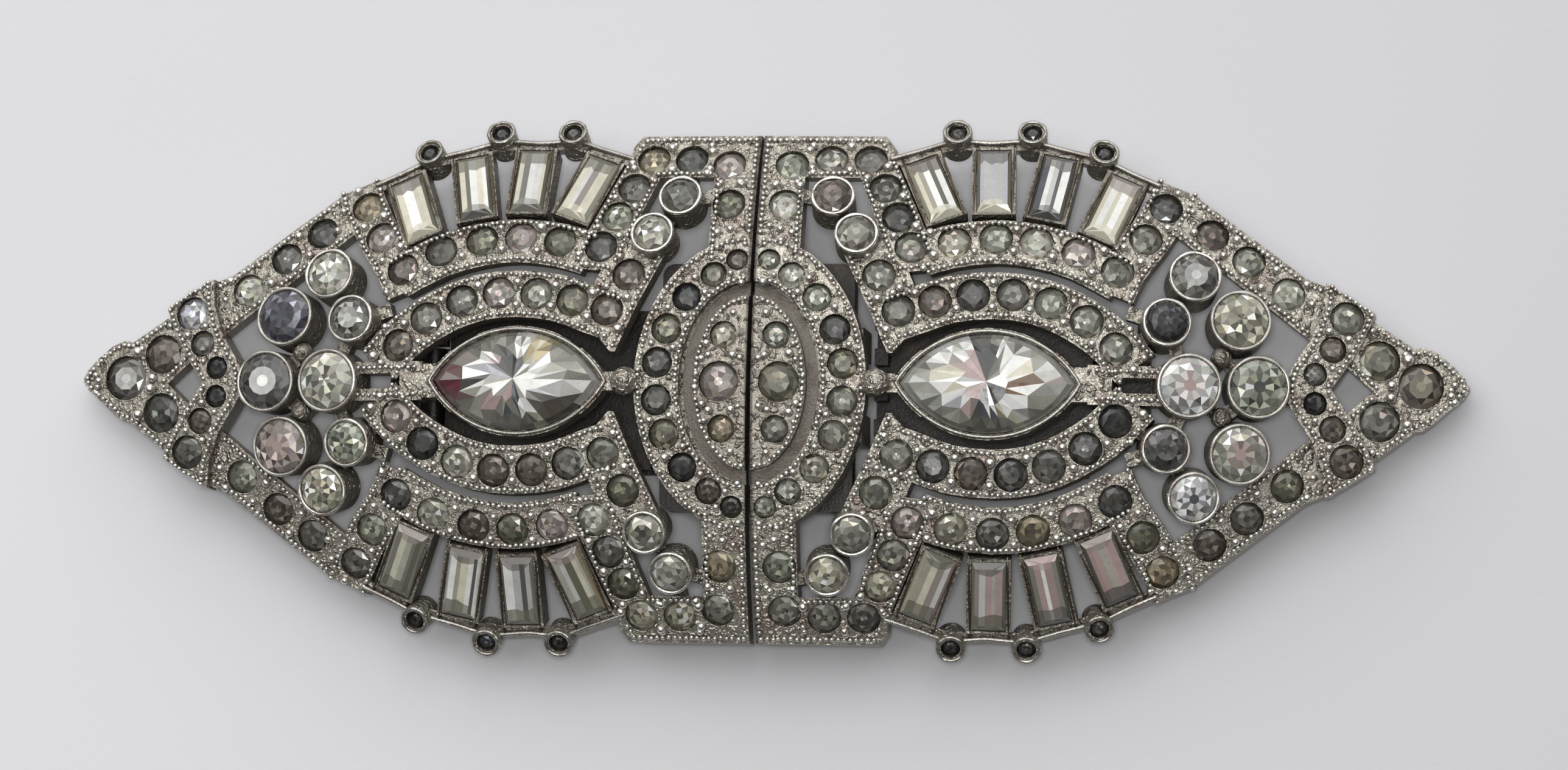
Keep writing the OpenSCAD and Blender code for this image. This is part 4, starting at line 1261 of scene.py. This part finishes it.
class CLIP_OT_grains(bpy.types.Operator):
    """Sets the grains that hold the stones, in pairs between neighbours"""
    bl_idname = "dress_clip.grains"
    bl_label = "Grains between the stones"

    def execute(self, context):
        radius = metal().grain_radius / MM
        spots = []
        for chain in CHAINS:
            row = np.array([BAND_STONES[name] for name in chain])
            a, b = row[:-1], row[1:]
            run = (b - a)[:, :2]
            span = np.linalg.norm(run, axis=1)[:, None]
            side = np.stack([-run[:, 1], run[:, 0]], 1) / span
            mean_d = (a[:, 2:3] + b[:, 2:3]) / 2
            middle = (a[:, :2] * b[:, 2:3] + b[:, :2] * a[:, 2:3]) / (a[:, 2:3] + b[:, 2:3])
            size = radius * (mean_d / CHATON[0])
            for s in (1, -1):
                place = middle + s * side * mean_d * GRAIN_AWAY
                spots.append(np.hstack([place, size, (a[:, 3:] + b[:, 3:]) / 2]))
        lone = np.array(LONE_GRAINS)
        spots = np.vstack(spots + [np.hstack([lone, np.zeros((len(lone), 1))])])
        form = ball(10, 5)
        for n, side in enumerate(SIDES):
            rng = np.random.default_rng(stones().seed + GRAIN_SEED + n)
            pile = Pile()
            for half in (1, -1):
                add_grains(pile, form, rng, spots, half, spots[:, 2], spots[:, 3],
                           size_shake=0.12, place_shake=0.05, limit=0.3)
            pile.make(side + "_grains", side, "Rubbed grains")
        return {"FINISHED"}


class CLIP_OT_seat_walls(bpy.types.Operator):
    """Raises the thin wall round each stone of the bands"""
    bl_idname = "dress_clip.seat_walls"
    bl_label = "Seat walls"

    def execute(self, context):
        rows = both_halves(BAND_STONES)[2]
        for side in SIDES:
            pile = Pile()
            add_rings(pile, rows, radius=rows[:, 2] / 2 + SEAT_ROOM, thick=SEAT_WIRE,
                      rise=rows[:, 3] - SEAT_DROP, segments=24, sides=5, wobble=0.25)
            pile.make(side + "_seat_walls", side, "Worn plated casting")
        return {"FINISHED"}


class CLIP_OT_cup_rims(bpy.types.Operator):
    """Rounds the rims of the cups, the cluster and the knobs"""
    bl_idname = "dress_clip.cup_rims"
    bl_label = "Cup rims"

    def execute(self, context):
        for label, table, material, slot in (
                ("_cup_rims", CUPS | CLUSTER, "Rubbed rims", "plated_metal"),
                ("_knob_rims", KNOBS, "Blackened rims", "dark_metal")):
            rows = both_halves(table)[2]
            for side in SIDES:
                pile = Pile()
                add_rings(pile, rows, radius=rows[:, 2] - RIM_INSET, thick=RIM_WIRE,
                          rise=rows[:, 3] + RIM_RISE, segments=40, sides=8, wobble=0.18)
                pile.make(side + label, side, material)
        return {"FINISHED"}


class CLIP_OT_stone_walls(bpy.types.Operator):
    """Carries the thin wall round each long pointed stone"""
    bl_idname = "dress_clip.stone_walls"
    bl_label = "Walls of the pointed stones"

    def execute(self, context):
        x, length, width = MARQUISE
        line = oval_line(length + WALL_LONGER, width + WALL_WIDER, count=40)[::-1]
        line[:, 0] += x
        for side in SIDES:
            pile = Pile()
            add_strip(pile, line, WALL_PROFILE, closed=True)
            pile.make(side + "_stone_wall", side, "Blackened rims")
        return {"FINISHED"}


class CLIP_OT_rails(bpy.types.Operator):
    """Adds the rails beside the rectangular stones and the ribbon of the outer arch"""
    bl_idname = "dress_clip.rails"
    bl_label = "Rails and arch ribbon"

    def execute(self, context):
        for side in SIDES:
            pile = Pile()
            for index in range(8):
                x, y, lean = BAGUETTES[index % 4]
                half = 1 if index < 4 else -1
                a = np.radians(-half * lean)
                along = np.array([-np.sin(a), np.cos(a)])
                across = np.array([np.cos(a), np.sin(a)])
                t = np.linspace(-RAIL_HALF_LENGTH, RAIL_HALF_LENGTH, 8)[:, None]
                for s in (1, -1):
                    line = np.array([x, half * y]) + s * RAIL_AWAY * across + t * along
                    add_strip(pile, line, profile_round(*RAIL_SIZE), rise=RAIL_RISE)
            pile.make(side + "_rails", side, "Brown walls")
            pile = Pile()
            for half in (1, -1):
                line = smooth_line(GALLERY)
                line[:, 1] *= half
                add_strip(pile, beside(line, RIBBON_AWAY * half), profile_round(*RIBBON_SIZE),
                          rise=RIBBON_RISE)
            pile.make(side + "_arch_ribbon", side, "Blackened rims")
        return {"FINISHED"}


class CLIP_OT_round_stones(bpy.types.Operator):
    """Cuts the round stones of the bands, the cups and the knobs"""
    bl_idname = "dress_clip.round_stones"
    bl_label = "Round stones"

    def execute(self, context):
        s = stones()
        for n, side in enumerate(SIDES):
            for i, (label, stones_of, share, more, table, slot) in enumerate(ROUND_STONES):
                names, halves, rows = both_halves(stones_of)
                pile = Pile()
                add_round_stones(pile, side, names, halves, rows, share * rows[:, 2] + more,
                                 s.seed + 20 * n + i, s.contrast, sides=8, crown=0.27,
                                 table=table, rays=0.35)
                pile.make_stone(side + label, side, "Band glass")
        return {"FINISHED"}


class CLIP_OT_cluster_stones(bpy.types.Operator):
    """Cuts the eight larger round stones of each cluster"""
    bl_idname = "dress_clip.cluster_stones"
    bl_label = "Cluster stones"

    def execute(self, context):
        s = stones()
        order = list(CLUSTER)
        for n, side in enumerate(SIDES):
            for i in range(8):
                # the last three are the lower twins of the first three, in reverse order
                name, half = (order[i], 1) if i < 5 else (order[7 - i], -1)
                x, y, r, rise = CLUSTER[name]
                pile = Pile()
                add_round_stones(pile, side, [name], [half], np.array([[x, half * y, r, rise]]),
                                 np.array([2 * r - CUP_MARGIN]),
                                 s.seed + CLUSTER_SEED + 10 * n + i,
                                 s.contrast * 1.5, sides=12, crown=0.34, table=0.37, rays=0.55)
                pile.make_stone(f"{side}_cluster_{i + 1}", side, "Clear glass")
        return {"FINISHED"}


class CLIP_OT_long_stones(bpy.types.Operator):
    """Cuts the rectangular stones and the long pointed ones"""
    bl_idname = "dress_clip.long_stones"
    bl_label = "Rectangular and pointed stones"

    def execute(self, context):
        seed = stones().seed
        for n, side in enumerate(SIDES):
            for i, words in enumerate(word_rows(BAGUETTE_TINTS[side])):
                pile = Pile()
                add_baguette(pile, side, i, words, seed + BAGUETTE_SEED + 10 * n + i)
                pile.make_stone(f"{side}_baguette_{i + 1}", side, "Clear glass")
            pile = Pile()
            add_marquise(pile, side, seed + POINTED_SEED + n)
            pile.make_stone(side + "_marquise", side, "Clear glass")
        return {"FINISHED"}


class CLIP_OT_stage(bpy.types.Operator):
    """Lays the pale floor, lights it softly and sets the camera at the photograph's angle"""
    bl_idname = "dress_clip.stage"
    bl_label = "Stage"

    def execute(self, context):
        scene = context.scene
        s = scene.clip_stage
        self.floor(scene, tuple(s.floor))
        self.room(scene, s.sky)
        self.lamp(scene, "window_light", *WINDOW_LIGHT, s.window)
        self.lamp(scene, "key_light", *KEY_LIGHT, s.key)
        self.camera(scene, s.lens)
        scene.view_settings.view_transform = "Standard"
        return {"FINISHED"}

    def floor(self, scene, pale):
        """A sheet of pale paper, with a painted shade that darkens it toward the right."""
        t = np.linspace(-FLOOR_HALF, FLOOR_HALF, FLOOR_POINTS)
        gx, gy = np.meshgrid(t, t)
        points = np.stack([gx, gy, 0 * gx], -1).reshape(-1, 3)
        mesh = bpy.data.meshes.new("floor")
        mesh.from_pydata(points.tolist(), [],
                         grid_faces(FLOOR_POINTS, FLOOR_POINTS, False, False).tolist())
        floor = bpy.data.objects.new("floor", mesh)
        scene.collection.objects.link(floor)
        material, tree, shader = new_material("Pale paper")
        mm = millimetres(tree)
        cloud = noise(tree, mm, 0.02, 3.0)[0]
        tone = mix(tree, spread(tree, cloud, 0.3, 0.7), pale, (0.71, 0.71, 0.725, 1))
        # painted shade: the paper is darker toward the right
        across = new_node(tree, "ShaderNodeSeparateXYZ", {0: mm}).outputs[0]
        tone = mix(tree, spread(tree, across, -60, 60), tone, (0.82, 0.82, 0.82, 1), "MULTIPLY")
        feed(tree, shader, {
            "Base Color": tone, "Roughness": 0.85, "Specular IOR Level": 0.2,
            "Normal": bumps(tree, noise(tree, mm, 3.0, 5.0)[0], 0.08, 0.0002)})
        mesh.materials.append(material)

    def room(self, scene, strength):
        """A soft room: bright overhead, a window and a bright strip behind, dark in front."""
        world = bpy.data.worlds.new("Soft room")
        world.use_nodes = True
        scene.world = world
        tree = world.node_tree
        tree.nodes.clear()
        way = new_node(tree, "ShaderNodeTexCoord").outputs["Generated"]
        _, y, z = new_node(tree, "ShaderNodeSeparateXYZ", {0: way}).outputs
        glow = mix(tree, spread(tree, z, -0.1, 0.9), LOW_SKY, HIGH_SKY)
        window = times(tree, spread(tree, y, 0.15, 0.55), spread(tree, z, 0.1, 0.4))
        glow = mix(tree, window, glow, WINDOW_GLOW)
        strip = times(tree, spread(tree, y, 0.45, 0.7), times(
            tree, spread(tree, z, 0.12, 0.25), spread(tree, z, 0.62, 0.45)))
        glow = mix(tree, strip, glow, STRIP_GLOW)
        front = times(tree, spread(tree, y, -0.2, -0.7), 0.75)
        glow = mix(tree, front, glow, FRONT_GLOW)
        back = new_node(tree, "ShaderNodeBackground", {"Color": glow, "Strength": strength})
        feed(tree, tree.nodes.new("ShaderNodeOutputWorld"), {0: back.outputs[0]})

    def lamp(self, scene, name, place, wide, high, power):
        """A rectangular light aimed at the brooch."""
        light = bpy.data.lights.new(name, "AREA")
        light.shape = "RECTANGLE"
        light.size, light.size_y, light.energy = wide, high, power
        lamp = bpy.data.objects.new(name, light)
        turn = (-Vector(place)).to_track_quat("-Z", "Y").to_matrix().to_4x4()
        turn.translation = Vector(place)
        lamp.matrix_world = turn
        scene.collection.objects.link(lamp)

    def camera(self, scene, lens):
        """The camera at the place and turn that fit the photograph."""
        camera = bpy.data.objects.new("camera", bpy.data.cameras.new("camera"))
        camera.data.sensor_fit = "HORIZONTAL"
        camera.data.sensor_width = 36.0
        camera.data.lens = lens
        camera.data.clip_start = 0.01
        back = Vector(CAMERA_BACK).normalized()
        up = back.cross(Vector(CAMERA_RIGHT)).normalized()
        place = Matrix((up.cross(back), up, back)).transposed().to_4x4()
        place.translation = Vector(CAMERA_PLACE) * MM
        camera.matrix_world = place
        scene.collection.objects.link(camera)
        scene.camera = camera


STEPS = ("finishes", "edge_grains", "grains", "seat_walls", "cup_rims", "stone_walls", "rails",
         "round_stones", "cluster_stones", "long_stones", "stage")


class CLIP_PT_panel(bpy.types.Panel):
    """Lists the sizes and the steps of the dress clip"""
    bl_idname = "CLIP_PT_panel"
    bl_label = "Dress clip"
    bl_space_type = "VIEW_3D"
    bl_region_type = "UI"
    bl_category = "Dress clip"

    def draw(self, context):
        scene = context.scene
        for settings in (scene.clip_metal, scene.clip_stones, scene.clip_stage):
            box = self.layout.box()
            for key in settings.__annotations__:
                box.prop(settings, key)
        for step in STEPS:
            self.layout.operator("dress_clip." + step)


CLASSES = (ClipMetalSettings, ClipStoneSettings, ClipStageSettings, CLIP_OT_finishes,
           CLIP_OT_edge_grains, CLIP_OT_grains, CLIP_OT_seat_walls, CLIP_OT_cup_rims,
           CLIP_OT_stone_walls, CLIP_OT_rails, CLIP_OT_round_stones,
           CLIP_OT_cluster_stones, CLIP_OT_long_stones, CLIP_OT_stage, CLIP_PT_panel)


def register():
    for c in CLASSES:
        bpy.utils.register_class(c)
    bpy.types.Scene.clip_metal = bpy.props.PointerProperty(type=ClipMetalSettings)
    bpy.types.Scene.clip_stones = bpy.props.PointerProperty(type=ClipStoneSettings)
    bpy.types.Scene.clip_stage = bpy.props.PointerProperty(type=ClipStageSettings)


def unregister():
    del bpy.types.Scene.clip_metal, bpy.types.Scene.clip_stones, bpy.types.Scene.clip_stage
    for c in reversed(CLASSES):
        bpy.utils.unregister_class(c)


def corners(box):
    """A box as plain lists."""
    return [[float(v) for v in corner] for corner in box]


def main():
    register()
    for step in STEPS:
        getattr(bpy.ops.dress_clip, step)()


if __name__ == "__main__":
    main()
